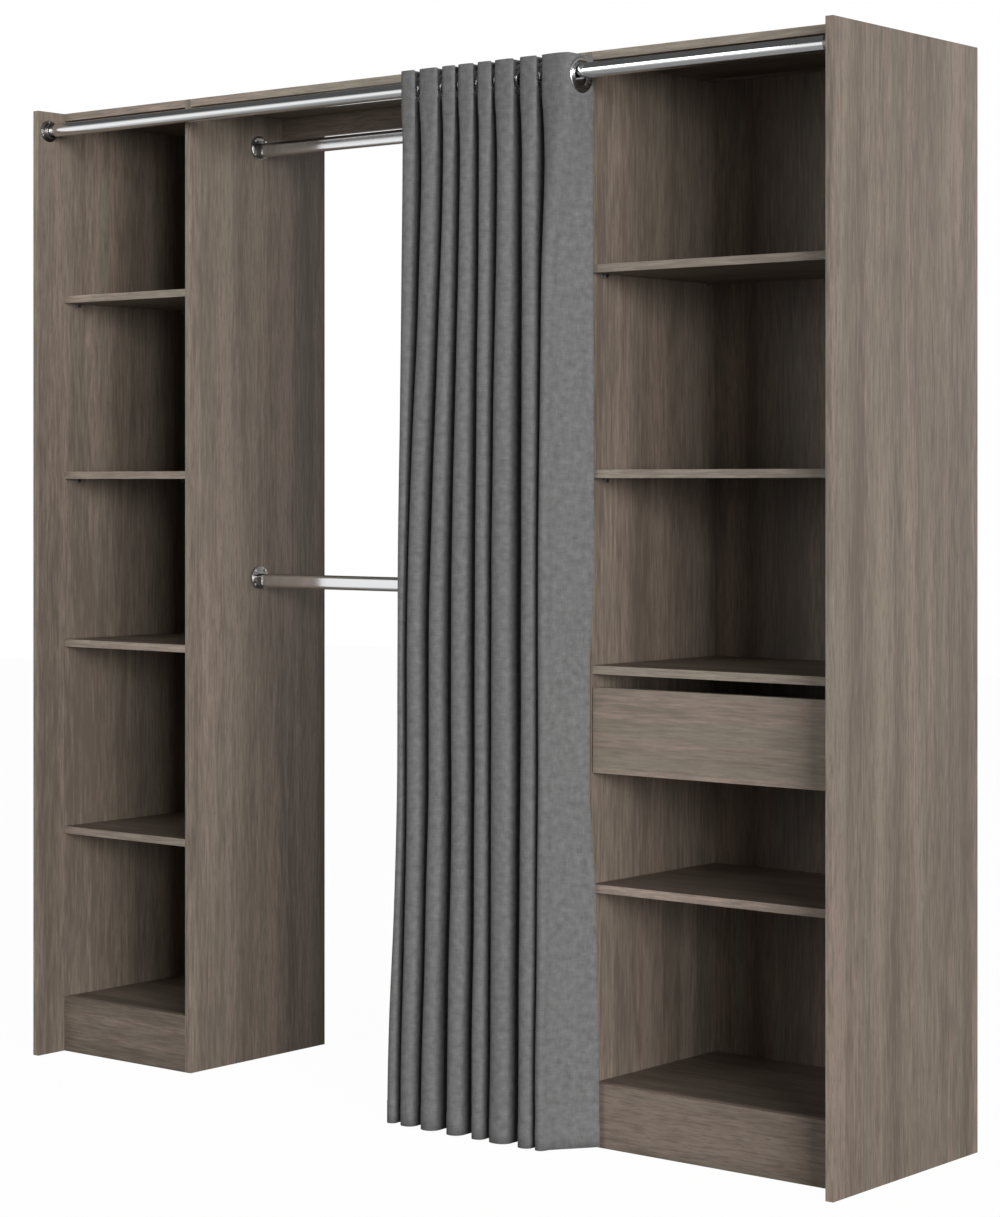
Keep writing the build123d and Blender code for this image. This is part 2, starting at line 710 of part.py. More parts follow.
# Drawer front, flush with the shelves' front edges, grooved behind for the bottom
with BuildPart() as drawer_front:
    block(
        drawer_front_from_x,
        drawer_front_to_x,
        tower_front_y,
        drawer_box_front_y,
        drawer_front_z,
        drawer_front_top_z,
    )
    block(
        drawer_inner_from_x - groove_depth,
        drawer_inner_to_x + groove_depth,
        drawer_box_front_y - groove_depth,
        drawer_box_front_y + overrun,
        drawer_bottom_z - groove_clearance,
        drawer_bottom_top_z + groove_clearance,
        Mode.SUBTRACT,
    )
    for inner_x, out in ((drawer_inner_from_x, -1), (drawer_inner_to_x, 1)):
        dowel_x = inner_x + out * board_thickness / 2
        round_along_y(
            [(dowel_x, height) for height in drawer_dowel_heights],
            dowel_radius + dowel_clearance,
            drawer_box_front_y + overrun,
            drawer_box_front_y - dowel_panel_depth - dowel_end_play,
            Mode.SUBTRACT,
        )
drawer_front.part.label = "drawer_front"
export_step(drawer_front.part, "parts/drawer_front.step")

# Drawer sides, each grooved inside for the bottom and drilled for its dowels and screws
drawer_back_mid_y = drawer_back_from_y + board_thickness / 2
drawer_back_dowels = [(drawer_back_mid_y, height) for height in drawer_dowel_heights]
drawer_hands = (
    ("left", drawer_box_from_x, drawer_inner_from_x, -1),
    ("right", drawer_box_to_x, drawer_inner_to_x, 1),
)
for hand, outer_x, inner_x, out in drawer_hands:
    with BuildPart() as drawer_side:
        block(outer_x, inner_x, drawer_box_front_y, drawer_box_back_y, drawer_box_z, drawer_box_top_z)
        block(
            inner_x - out * overrun,
            inner_x + out * groove_depth,
            drawer_box_front_y - overrun,
            drawer_box_back_y + overrun,
            drawer_bottom_z - groove_clearance,
            drawer_bottom_top_z + groove_clearance,
            Mode.SUBTRACT,
        )
        round_along_y(
            [((outer_x + inner_x) / 2, height) for height in drawer_dowel_heights],
            dowel_radius + dowel_clearance,
            drawer_box_front_y - overrun,
            drawer_box_front_y + dowel_board_depth,
            Mode.SUBTRACT,
        )
        cut_panel_dowel_holes(drawer_back_dowels, inner_x, out)
        cut_pilot_holes(at_height(drawer_screw_rows, roller_z), outer_x, -out, runner_screw_depth)
    drawer_side.part.label = f"drawer_{hand}_side"
    export_step(drawer_side.part, f"parts/drawer_{hand}_side.step")

# Drawer back, standing on the bottom between the sides
with BuildPart() as drawer_back:
    block(
        drawer_inner_from_x,
        drawer_inner_to_x,
        drawer_back_from_y,
        drawer_box_back_y,
        drawer_back_z,
        drawer_box_top_z,
    )
    for end_x, inward in ((drawer_inner_from_x, 1), (drawer_inner_to_x, -1)):
        round_along_x(
            drawer_back_dowels,
            dowel_radius + dowel_clearance,
            end_x - inward * overrun,
            end_x + inward * dowel_board_depth,
            Mode.SUBTRACT,
        )
drawer_back.part.label = "drawer_back"
export_step(drawer_back.part, "parts/drawer_back.step")

# Drawer bottom, in the grooves of front and sides
with BuildPart() as drawer_bottom:
    block(
        drawer_inner_from_x - groove_depth + groove_end_gap,
        drawer_inner_to_x + groove_depth - groove_end_gap,
        drawer_box_front_y - groove_depth + groove_end_gap,
        drawer_box_back_y,
        drawer_bottom_z,
        drawer_bottom_top_z,
    )
drawer_bottom.part.label = "drawer_bottom"
export_step(drawer_bottom.part, "parts/drawer_bottom.step")

# Dowels of the drawer box
with BuildPart() as drawer_dowels:
    for hand, outer_x, inner_x, out in drawer_hands:
        start_y = drawer_box_front_y - dowel_panel_depth
        places = [((outer_x + inner_x) / 2, height) for height in drawer_dowel_heights]
        round_along_y(places, dowel_radius, start_y, start_y + dowel_length)
        start_x = inner_x + out * dowel_panel_depth
        round_along_x(drawer_back_dowels, dowel_radius, start_x, start_x - out * dowel_length)
drawer_dowels.part.label = "drawer_dowels"
export_step(drawer_dowels.part, "parts/drawer_dowels.step")

# Runners. Distances across the gap are counted from the panel's face towards the drawer.
runner_hands = (("left", right_bay_from_x, 1), ("right", right_bay_to_x, -1))
for hand, face_x, out in runner_hands:
    web_x = face_x + out * runner_sheet
    drawer_side_x = face_x + out * runner_gap
    drawer_web_x = drawer_side_x - out * runner_sheet
    near_x = face_x + out * roller_near
    far_x = face_x + out * roller_far
    cabinet_axle = [(cabinet_roller_y, roller_z)]
    drawer_axle = [(drawer_roller_y, roller_z)]

    # Cabinet member: a channel on the panel with a stub axle near its front end
    with BuildPart() as cabinet_runner:
        with BuildSketch(Plane.XZ.offset(-runner_front_y)):
            with BuildLine():
                Polyline(
                    (face_x, lower_flange_top_z - runner_sheet),
                    (drawer_web_x - out * runner_slip, lower_flange_top_z - runner_sheet),
                    (drawer_web_x - out * runner_slip, lower_flange_top_z),
                    (web_x, lower_flange_top_z),
                    (web_x, cabinet_lip_z),
                    (face_x + out * runner_lip_length, cabinet_lip_z),
                    (face_x + out * runner_lip_length, cabinet_lip_z + runner_sheet),
                    (face_x, cabinet_lip_z + runner_sheet),
                    close=True,
                )
            make_face()
        extrude(amount=-drawer_box_length)
        round_along_x(cabinet_axle, axle_head_radius, web_x, near_x - out * roller_clearance)
        round_along_x(cabinet_axle, axle_radius, web_x, far_x + out * roller_clearance)
        head_x = far_x + out * roller_clearance
        round_along_x(cabinet_axle, axle_head_radius, head_x, head_x + out * axle_head_thickness)
        round_along_x(
            at_height(cabinet_screw_rows, roller_z),
            screw_hole_radius,
            face_x - out * overrun,
            web_x + out * overrun,
            Mode.SUBTRACT,
        )
    cabinet_runner.part.label = f"{hand}_cabinet_runner"
    export_step(cabinet_runner.part, f"parts/{hand}_cabinet_runner.step")

    # Drawer member: an angle on the drawer side with a stub axle near its back end
    with BuildPart() as drawer_runner:
        with BuildSketch(Plane.XZ.offset(-drawer_box_front_y)):
            with BuildLine():
                Polyline(
                    (drawer_side_x, drawer_box_z),
                    (drawer_web_x, drawer_box_z),
                    (drawer_web_x, drawer_flange_z),
                    (web_x + out * runner_slip, drawer_flange_z),
                    (web_x + out * runner_slip, drawer_flange_z + runner_sheet),
                    (drawer_side_x, drawer_flange_z + runner_sheet),
                    close=True,
                )
            make_face()
        extrude(amount=-drawer_box_length)
        round_along_x(drawer_axle, axle_head_radius, drawer_web_x, far_x + out * roller_clearance)
        round_along_x(drawer_axle, axle_radius, drawer_web_x, near_x - out * roller_clearance)
        head_x = near_x - out * roller_clearance
        round_along_x(drawer_axle, axle_head_radius, head_x, head_x - out * axle_head_thickness)
        round_along_x(
            at_height(drawer_screw_rows, roller_z),
            screw_hole_radius,
            drawer_side_x + out * overrun,
            drawer_web_x - out * overrun,
            Mode.SUBTRACT,
        )
    drawer_runner.part.label = f"{hand}_drawer_runner"
    export_step(drawer_runner.part, f"parts/{hand}_drawer_runner.step")

    # Rollers, free on the stub axles
    for member, axle in (("cabinet", cabinet_axle), ("drawer", drawer_axle)):
        with BuildPart() as roller:
            round_along_x(axle, roller_radius, near_x, far_x)
            bore_radius = axle_radius + roller_clearance
            round_along_x(axle, bore_radius, near_x - out * overrun, far_x + out * overrun, Mode.SUBTRACT)
        roller.part.label = f"{hand}_{member}_roller"
        export_step(roller.part, f"parts/{hand}_{member}_roller.step")

# Screws of the runners, those of the cabinet in the panels and those of the drawer in its sides
with BuildPart() as runner_screws:
    for hand, face_x, out in runner_hands:
        places = at_height(cabinet_screw_rows, roller_z)
        web_x = face_x + out * runner_sheet
        round_along_x(places, screw_radius, face_x - out * runner_screw_depth, web_x)
        round_along_x(places, screw_head_radius, web_x, web_x + out * runner_screw_head_height)
runner_screws.part.label = "runner_screws"
export_step(runner_screws.part, "parts/runner_screws.step")

with BuildPart() as drawer_screws:
    for hand, face_x, out in runner_hands:
        places = at_height(drawer_screw_rows, roller_z)
        side_x = face_x + out * runner_gap
        web_x = side_x - out * runner_sheet
        round_along_x(places, screw_radius, side_x + out * runner_screw_depth, web_x)
        round_along_x(places, screw_head_radius, web_x, web_x - out * runner_screw_head_height)
drawer_screws.part.label = "drawer_screws"
export_step(drawer_screws.part, "parts/drawer_screws.step")

# Curtain. Its plan is a wave: the cloth runs straight back and forth across the rod at each
# crossing and turns round at the front and at the back, with both of its ends turned in behind.
half_cloth = cloth_thickness / 2
eyelet_z = rod_z + rod_radius + eyelet_hang_gap - eyelet_inner_radius
stack_top_z = rod_z + cloth_above_rod
heading_low_z = eyelet_z - eyelet_outer_radius - heading_below_eyelet
upper_front_y = rod_y - eyelet_outer_radius - front_turn_room + half_cloth
upper_back_y = rod_y + eyelet_outer_radius + back_turn_room - half_cloth
drawer_level_right_x = drawer_front_from_x - stack_drawer_gap
fold_count = len(middle_front_shares)
turn_count = len(upper_crossing_shares) - 1


def cloth_centre(right_x, stack_width, crossing_shares, front_lines, back_lines, limits):
    """Corners (X, Y, radius) of the cloth's centre line in plan, from its left end to its right end."""
    first_x = right_x - stack_width + half_cloth
    crossings = [first_x + share * (stack_width - cloth_thickness) for share in crossing_shares]
    front_limit, back_limit = limits
    end_radius = min(back_limit, turn_share * cloth_end_length)
    centre = [(crossings[0] - cloth_end_length, back_lines[0], 0)]
    centre.append((crossings[0], back_lines[0], end_radius))
    for turn in range(turn_count):
        at_front = turn % 2 == 0
        line_y = front_lines[turn // 2] if at_front else back_lines[turn // 2 + 1]
        width = crossings[turn + 1] - crossings[turn]
        radius = min(turn_share * width, front_limit if at_front else back_limit)
        centre.append((crossings[turn], line_y, radius))
        centre.append((crossings[turn + 1], line_y, radius))
    centre.append((crossings[-1], back_lines[-1], end_radius))
    centre.append((crossings[-1] - cloth_end_length, back_lines[-1], 0))
    return centre


def direction(start, end):
    """Step along the wave from one corner to the next, as -1, 0 or 1 in X and in Y."""
    step_x = (end[0] > start[0]) - (end[0] < start[0])
    step_y = (end[1] > start[1]) - (end[1] < start[1])
    return step_x, step_y


def cloth_side(centre, hand):
    """One face of the cloth, half a thickness to the left (1) or right (-1) of its centre line."""
    side = []
    for index, (x, y, radius) in enumerate(centre):
        last = len(centre) - 1
        arriving = direction(centre[max(index, 1) - 1], centre[max(index, 1)])
        leaving = direction(centre[min(index, last - 1)], centre[min(index, last - 1) + 1])
        step_x = arriving[0] or leaving[0]
        step_y = arriving[1] or leaving[1]
        bend = arriving[0] * leaving[1] - arriving[1] * leaving[0]
        side_x = x - hand * half_cloth * step_y
        side_y = y + hand * half_cloth * step_x
        side_radius = radius - hand * bend * half_cloth if radius else 0
        side.append((side_x, side_y, side_radius))
    return side


upper_fronts = [upper_front_y] * fold_count
upper_backs = [upper_back_y] * (fold_count + 1)
front_edge_y = panel_front_y + half_cloth
middle_fronts = [front_edge_y - share * fold_overhang for share in middle_front_shares]
lower_fronts = [front_edge_y - share * fold_overhang for share in lower_front_shares]
middle_backs = [rod_y + share * (upper_back_y - rod_y) for share in middle_back_shares]
lower_backs = [rod_y + share * (upper_back_y - rod_y) for share in lower_back_shares]
upper_right_x = right_bay_from_x + stack_past_panel
turn_reserve = cloth_thickness + turn_margin
heading_limits = (front_turn_room - turn_reserve, back_turn_room - turn_reserve)
skirt_limits = (skirt_front_turn_radius, skirt_back_turn_radius)
heading = cloth_centre(
    upper_right_x, upper_stack_width, upper_crossing_shares, upper_fronts, upper_backs, heading_limits
)
drawer_level = cloth_centre(
    drawer_level_right_x,
    middle_stack_width,
    middle_crossing_shares,
    middle_fronts,
    middle_backs,
    skirt_limits,
)
hem = cloth_centre(
    drawer_level_right_x + stack_flare,
    lower_stack_width,
    lower_crossing_shares,
    lower_fronts,
    lower_backs,
    skirt_limits,
)
cloth_levels = (
    (stack_top_z, heading),
    (heading_low_z, heading),
    (fixed_shelf_z, drawer_level),
    (drawer_front_z, drawer_level),
    (cloth_above_floor, hem),
)
heading_crossings = [corner[0] for corner in heading[1:-2:2]]
with BuildPart() as curtain_fabric:
    for height, centre in cloth_levels:
        outline = cloth_side(centre, 1) + cloth_side(centre, -1)[::-1]
        with BuildSketch(Plane.XY.offset(height)):
            with BuildLine():
                FilletPolyline(
                    *[(x, y) for x, y, radius in outline],
                    radius=[radius for x, y, radius in outline],
                    close=True,
                )
            make_face()
    loft(ruled=True)
    round_along_x(
        [(rod_y, eyelet_z)],
        eyelet_barrel_radius + eyelet_hole_gap,
        upper_right_x - upper_stack_width - cloth_end_length,
        upper_right_x + overrun,
        Mode.SUBTRACT,
    )
curtain_fabric.part.label = "curtain_fabric"
export_step(curtain_fabric.part, "parts/curtain_fabric.step")

# Flat size of the cloth, from the length of its centre line at three heights
for name, centre in (("heading", heading), ("middle", drawer_level), ("hem", hem)):
    with BuildLine() as cloth_line:
        FilletPolyline(
            *[(x, y) for x, y, radius in centre],
            radius=[radius for x, y, radius in centre[1:-1]],
        )
    print("curtain width along the", name, round(cloth_line.wire().length))
print("curtain height", round(stack_top_z - cloth_above_floor))

# Eyelets, one at each crossing: a barrel through the cloth and a flat ring on each face
ring_from = half_cloth + eyelet_cloth_gap
ring_to = ring_from + eyelet_ring_thickness
with BuildPart() as curtain_eyelets:
    for crossing_x in heading_crossings:
        eyelet_place = [(rod_y, eyelet_z)]
        round_along_x(eyelet_place, eyelet_barrel_radius, crossing_x - ring_to, crossing_x + ring_to)
        for hand in (-1, 1):
            ring_x = crossing_x + hand * ring_from
            round_along_x(eyelet_place, eyelet_outer_radius, ring_x, crossing_x + hand * ring_to)
    round_along_x(
        [(rod_y, eyelet_z)],
        eyelet_inner_radius,
        heading_crossings[0] - ring_to - overrun,
        heading_crossings[-1] + ring_to + overrun,
        Mode.SUBTRACT,
    )
curtain_eyelets.part.label = "curtain_eyelets"
export_step(curtain_eyelets.part, "parts/curtain_eyelets.step")
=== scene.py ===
import bpy
import bmesh
import math
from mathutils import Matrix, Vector, noise


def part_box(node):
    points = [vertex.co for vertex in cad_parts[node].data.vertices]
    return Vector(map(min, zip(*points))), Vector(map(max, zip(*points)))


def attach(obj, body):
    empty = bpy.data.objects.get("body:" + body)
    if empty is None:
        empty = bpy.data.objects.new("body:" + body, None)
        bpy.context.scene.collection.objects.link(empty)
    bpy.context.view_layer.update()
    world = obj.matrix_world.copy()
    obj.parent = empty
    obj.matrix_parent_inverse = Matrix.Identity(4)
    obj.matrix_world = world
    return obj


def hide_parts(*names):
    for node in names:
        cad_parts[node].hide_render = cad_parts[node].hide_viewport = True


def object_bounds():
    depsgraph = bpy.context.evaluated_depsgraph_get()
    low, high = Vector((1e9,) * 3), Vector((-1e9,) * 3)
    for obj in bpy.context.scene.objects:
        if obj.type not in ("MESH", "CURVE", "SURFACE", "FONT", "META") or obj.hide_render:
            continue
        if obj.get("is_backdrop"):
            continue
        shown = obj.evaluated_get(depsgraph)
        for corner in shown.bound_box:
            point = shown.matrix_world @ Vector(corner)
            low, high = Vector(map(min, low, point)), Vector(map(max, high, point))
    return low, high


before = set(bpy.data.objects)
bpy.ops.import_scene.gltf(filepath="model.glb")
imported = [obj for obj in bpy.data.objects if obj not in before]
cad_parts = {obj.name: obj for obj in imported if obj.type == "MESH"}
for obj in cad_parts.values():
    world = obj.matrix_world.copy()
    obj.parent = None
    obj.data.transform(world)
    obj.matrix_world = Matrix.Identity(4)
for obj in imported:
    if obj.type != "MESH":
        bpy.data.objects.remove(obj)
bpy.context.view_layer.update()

# The photographer's camera: a long lens held level at breast height, in front of the unit and to
# its right, with the picture shifted down. The picture is taken to be 1000 by 1217.
picture_height = 1217
focal_length_pixels = 2921.95
horizon_pixels = 483.73
film_size = 36
camera_place = (3.74706, -4.44467, 1.22868)
camera_turn = 39.397
photograph = bpy.data.cameras.new("photograph_camera")
photograph.sensor_width = film_size
photograph.lens = focal_length_pixels * film_size / picture_height
photograph.shift_y = (horizon_pixels - picture_height / 2) / picture_height
camera = bpy.data.objects.new("photograph_camera", photograph)
camera.location = camera_place
camera.rotation_euler = (math.pi / 2, 0, math.radians(camera_turn))
bpy.context.scene.collection.objects.link(camera)
bpy.context.scene.camera = camera
bpy.context.scene.view_settings.view_transform = "Standard"

# The carcase boards: 16 mm particle board, faced with melamine that is printed and pressed as
# brushed grey-brown oak. Their edges carry a thin band of the same print, drawn paler than the
# faces as painted light, the level boards' palest, and holes show the core.
board_edge_radius = 0.0006
bevel_segments = 2
sharp_angle = 30
merge_distance = 0.00001
flat_angle = 1
surface_tolerance = 0.00002
square_on = 0.6
faced, painted_lit_band, bare = 0, 1, 2
# Printed pores are about 0.3 mm wide, too fine to show, and are drawn ten times as wide.
pore_width = 0.0032
pore_length = 0.028
pore_depth = 0.0001
pore_range = (0.46, 0.34)
pore_darkness = 0.5
pore_relief = 0.4
streak_width = 0.0052
streak_length = 0.075
wide_band = 0.06
wide_band_length = 1.5
grain_range = (0.8, 1.2)
hue_band = 0.048
hue_range = (0.44, 0.56)
noise_roughness = 0.6
oak_roughness = 0.5
oak_gloss = 0.3
chip_size = 0.0025
oak_hues = ("#6c6157", "#8d8274", "#96867a")
# The drawer front's print is paler than the other boards': painted light, as if it were lit more
# than the plinth below it.
drawer_front_painted_lit_hues = ("#857a6e", "#a09586", "#ae9a8d")
# The edge bands' hues are paler than the faces': painted light, as on edges lit more than the
# faces. The level boards' edges are the palest.
upright_painted_lit_edges = ("#7b7165", "#a09687", "#ac9a8c")
level_painted_lit_edges = ("#8b8075", "#b3a898", "#bfaa9c")


def linear(hex_colour):
    """An sRGB hex colour as linear red, green, blue and alpha."""
    parts = [int(hex_colour[i : i + 2], 16) / 255 for i in (1, 3, 5)]
    return [c / 12.92 if c <= 0.04045 else ((c + 0.055) / 1.055) ** 2.4 for c in parts] + [1]


def add_node(tree, kind, inputs=(), **settings):
    """A node with its settings. Each input is a value or another node's output socket.

    A Mix node that mixes colours has them as its inputs 6 and 7, and its output 2.
    """
    node = tree.nodes.new(kind)
    for name, value in settings.items():
        setattr(node, name, value)
    for name, value in dict(inputs).items():
        if isinstance(value, bpy.types.NodeSocket):
            tree.links.new(value, node.inputs[name])
        else:
            node.inputs[name].default_value = value
    return node.outputs


def new_finish(name, **values):
    """A material with one Principled shader, and the values that are the same all over it."""
    material = bpy.data.materials.new(name)
    material.use_nodes = True
    shader = material.node_tree.nodes["Principled BSDF"]
    for value_name, value in values.items():
        shader.inputs[value_name.replace("_", " ").title()].default_value = value
    return material, material.node_tree, shader


def stretched_noise(tree, place, width, length, grain_axis, detail):
    """Noise whose spots are as wide and as long as given, with their length along the grain."""
    scale = [1 / length if axis == grain_axis else 1 / width for axis in "XYZ"]
    stretched = add_node(tree, "ShaderNodeMapping", {"Vector": place, "Scale": scale})["Vector"]
    inputs = {"Vector": stretched, "Scale": 1, "Detail": detail, "Roughness": noise_roughness}
    return add_node(tree, "ShaderNodeTexNoise", inputs)["Fac"]


def oak_print(name, grain_axis, dark, light, rosy):
    """Brushed oak, a dull satin: wide soft bands of two hues, fine streaks, short dark pores."""
    material, tree, shader = new_finish(name, roughness=oak_roughness)
    shader.inputs["Specular IOR Level"].default_value = oak_gloss
    place = add_node(tree, "ShaderNodeTexCoord")["Object"]
    bands = stretched_noise(tree, place, wide_band, wide_band_length, grain_axis, detail=2)
    hues = stretched_noise(tree, place, hue_band, wide_band_length, grain_axis, detail=1)
    streaks = stretched_noise(tree, place, streak_width, streak_length, grain_axis, detail=4)
    pores = stretched_noise(tree, place, pore_width, pore_length, grain_axis, detail=2)
    grain = add_node(tree, "ShaderNodeMath", {0: streaks, 1: bands}, operation="ADD")[0]
    shares = []
    for value, (none, full) in ((grain, grain_range), (hues, hue_range), (pores, pore_range)):
        inputs = {"Value": value, "From Min": none, "From Max": full}
        shares.append(add_node(tree, "ShaderNodeMapRange", inputs)[0])
    tone, hue, pore = shares
    inputs = {0: hue, 6: linear(light), 7: linear(rosy)}
    pale_wood = add_node(tree, "ShaderNodeMix", inputs, data_type="RGBA")[2]
    inputs = {0: tone, 6: linear(dark), 7: pale_wood}
    wood = add_node(tree, "ShaderNodeMix", inputs, data_type="RGBA")[2]
    inputs = {0: pore, 1: pore_darkness}
    pore_share = add_node(tree, "ShaderNodeMath", inputs, operation="MULTIPLY")[0]
    inputs = {0: pore_share, 6: wood, 7: linear(dark)}
    colour = add_node(tree, "ShaderNodeMix", inputs, data_type="RGBA")[2]
    tree.links.new(colour, shader.inputs["Base Color"])
    inputs = {"Height": pore, "Strength": pore_relief, "Distance": pore_depth}
    relief = add_node(tree, "ShaderNodeBump", inputs, invert=True)
    tree.links.new(relief["Normal"], shader.inputs["Normal"])
    return material


def choose(*pieces):
    """Selects only these pieces, and makes the first of them the active one."""
    bpy.ops.object.select_all(action="DESELECT")
    for piece in pieces:
        piece.select_set(True)
    bpy.context.view_layer.objects.active = pieces[0]


def eased_copy(node, easing=0, picked=None, angle=sharp_angle):
    """A merged copy of a CAD node with its sharp edges eased, or only the picked ones."""
    piece = bpy.data.objects.new(node + "_piece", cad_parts[node].data.copy())
    piece.data.materials.clear()
    bpy.context.scene.collection.objects.link(piece)
    choose(piece)
    bpy.ops.object.mode_set(mode="EDIT")
    bpy.ops.mesh.select_all(action="SELECT")
    bpy.ops.mesh.remove_doubles(threshold=merge_distance)
    bpy.ops.mesh.dissolve_limited(angle_limit=math.radians(flat_angle))
    if easing:
        bpy.ops.mesh.select_all(action="DESELECT")
        bpy.ops.mesh.select_mode(type="EDGE")
        shape = bmesh.from_edit_mesh(piece.data)
        for edge in shape.edges:
            sharp = len(edge.link_faces) == 2 and edge.calc_face_angle() > math.radians(angle)
            edge.select_set(sharp and (picked is None or picked(edge)))
        bmesh.update_edit_mesh(piece.data)
        bpy.ops.mesh.bevel(
            offset=easing, segments=bevel_segments, affect="EDGES", clamp_overlap=True
        )
        bpy.ops.mesh.select_mode(type="VERT")
    bpy.ops.object.mode_set(mode="OBJECT")
    return piece


def dress(piece, finishes, body, slot, *nodes):
    """Gives a piece its finishes and its body, and hides the CAD nodes that it stands for. Its
    slot is not used.
    """
    for finish in finishes:
        piece.data.materials.append(finish)
    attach(piece, body)
    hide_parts(*nodes)


def on_arris(edge, low, high):
    """Whether an edge runs along an arris of its board's own box."""
    near = surface_tolerance
    sides_met = [
        {a for a in range(3) if end.co[a] < low[a] + near or end.co[a] > high[a] - near}
        for end in edge.verts
    ]
    return len(sides_met[0] & sides_met[1]) > 1


# Bare particle board: pressed chips, a dull and even mottle of pale and brown wood.
core, tree, shader = new_finish("particle_board_core", roughness=0.9)
place = add_node(tree, "ShaderNodeTexCoord")["Object"]
inputs = {"Vector": place, "Scale": 1 / chip_size}
chips = add_node(tree, "ShaderNodeTexVoronoi", inputs)["Distance"]
inputs = {0: chips, 6: linear("#9a7c56"), 7: linear("#c9ae86")}
colour = add_node(tree, "ShaderNodeMix", inputs, data_type="RGBA")[2]
tree.links.new(colour, shader.inputs["Base Color"])

oak_finishes = {}
for run, grain_axis, face_hues, painted_lit_edge_tones in (
    ("upright", "Z", oak_hues, upright_painted_lit_edges),
    ("lengthways", "X", oak_hues, level_painted_lit_edges),
    ("crossways", "Y", oak_hues, level_painted_lit_edges),
    ("painted_lit_drawer_face", "X", drawer_front_painted_lit_hues, level_painted_lit_edges),
):
    # Each run's edge band is a paler copy of its print: painted light.
    oak_finishes[run] = (
        oak_print("oak_print_" + run, grain_axis, *face_hues),
        oak_print("oak_edge_painted_lit_" + run, grain_axis, *painted_lit_edge_tones),
        core,
    )

upright_boards = [
    "left_side_panel",
    "left_inner_panel",
    "right_inner_panel",
    "right_side_panel",
]
lengthways_boards = [
    "left_top_board",
    "middle_top_board",
    "right_top_board",
    "left_bottom_board",
    "right_bottom_board",
    "left_plinth",
    "right_plinth",
    "middle_rail",
    "drawer_back",
]
for hand in ("left", "right"):
    lengthways_boards += [f"{hand}_shelf_{number}" for number in (1, 2, 3, 4)]
crossways_boards = ["drawer_left_side", "drawer_right_side"]
for run, boards in (
    ("upright", upright_boards),
    ("lengthways", lengthways_boards),
    ("crossways", crossways_boards),
    ("painted_lit_drawer_face", ["drawer_front"]),
):
    for node in boards:
        low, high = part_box(node)
        sides = high - low
        thin = min(range(3), key=lambda axis: sides[axis])
        board = eased_copy(node, board_edge_radius, lambda edge: on_arris(edge, low, high))
        body = "drawer" if node.startswith("drawer") else "cabinet"
        dress(board, oak_finishes[run], body, "oak_board", node)
        for face in board.data.polygons:
            facing = max(range(3), key=lambda axis: abs(face.normal[axis]))
            inside = min(face.center[facing] - low[facing], high[facing] - face.center[facing])
            if inside > 2 * board_edge_radius or abs(face.normal[facing]) < square_on:
                face.material_index = bare
            else:
                face.material_index = faced if facing == thin else painted_lit_band

# The thin backs and the drawer's bottom: 3 mm hardboard, printed on the side that shows and bare
# brown behind. The backs' print is drawn darker than the boards', as painted shade inside the
# towers. Each slides into grooves in the boards around it.
sheet_edge_radius = 0.0002
fibre_size = 0.0012
facing_limit = 0.9
# The backs' hues are darker than the boards': painted shade inside the towers.
painted_shade_back_hues = ("#5e554b", "#7a7265", "#867568")


def clouded(name, spot_size, detail, dark, light, **values):
    """A finish of two near colours that soft noise mixes, and that noise, for relief."""
    material, tree, shader = new_finish(name, **values)
    place = add_node(tree, "ShaderNodeTexCoord")["Object"]
    inputs = {"Vector": place, "Scale": 1 / spot_size, "Detail": detail}
    clouds = add_node(tree, "ShaderNodeTexNoise", inputs)["Fac"]
    inputs = {0: clouds, 6: linear(dark), 7: linear(light)}
    colour = add_node(tree, "ShaderNodeMix", inputs, data_type="RGBA")[2]
    tree.links.new(colour, shader.inputs["Base Color"])
    return material, tree, shader, clouds


# Bare hardboard: pressed wood fibre, a dull fine mottle of two browns.
hardboard = clouded(
    "bare_hardboard", fibre_size, detail=4, dark="#6e543c", light="#9b7b58", roughness=0.8
)[0]
painted_shade_oak_back = oak_print("oak_print_painted_shade_on_backs", "Z", *painted_shade_back_hues)
for node, facing, face_finish, body in (
    ("left_back_panel", (0, -1, 0), painted_shade_oak_back, "cabinet"),
    ("right_back_panel", (0, -1, 0), painted_shade_oak_back, "cabinet"),
    ("drawer_bottom", (0, 0, 1), oak_finishes["lengthways"][faced], "drawer"),
):
    sheet = eased_copy(node, sheet_edge_radius)
    dress(sheet, (face_finish, hardboard), body, "thin_back_board", node)
    for face in sheet.data.polygons:
        face.material_index = 0 if face.normal.dot(Vector(facing)) > facing_limit else 1

# The curtain rod: a 28 mm chromed steel tube, cut square with its ends slightly broken. It stops
# just short of the side panels, inside the two sockets' cups.
rod_radius = 0.014
rod_wall = 0.0012
rod_rim = 0.0004
rod_sides = 96
mark_width = 0.0012
mark_length = 0.12
mark_depth = 0.00005
mark_relief = 0.05
painted_reflection_share = 0.15
mark_roughness = 0.4


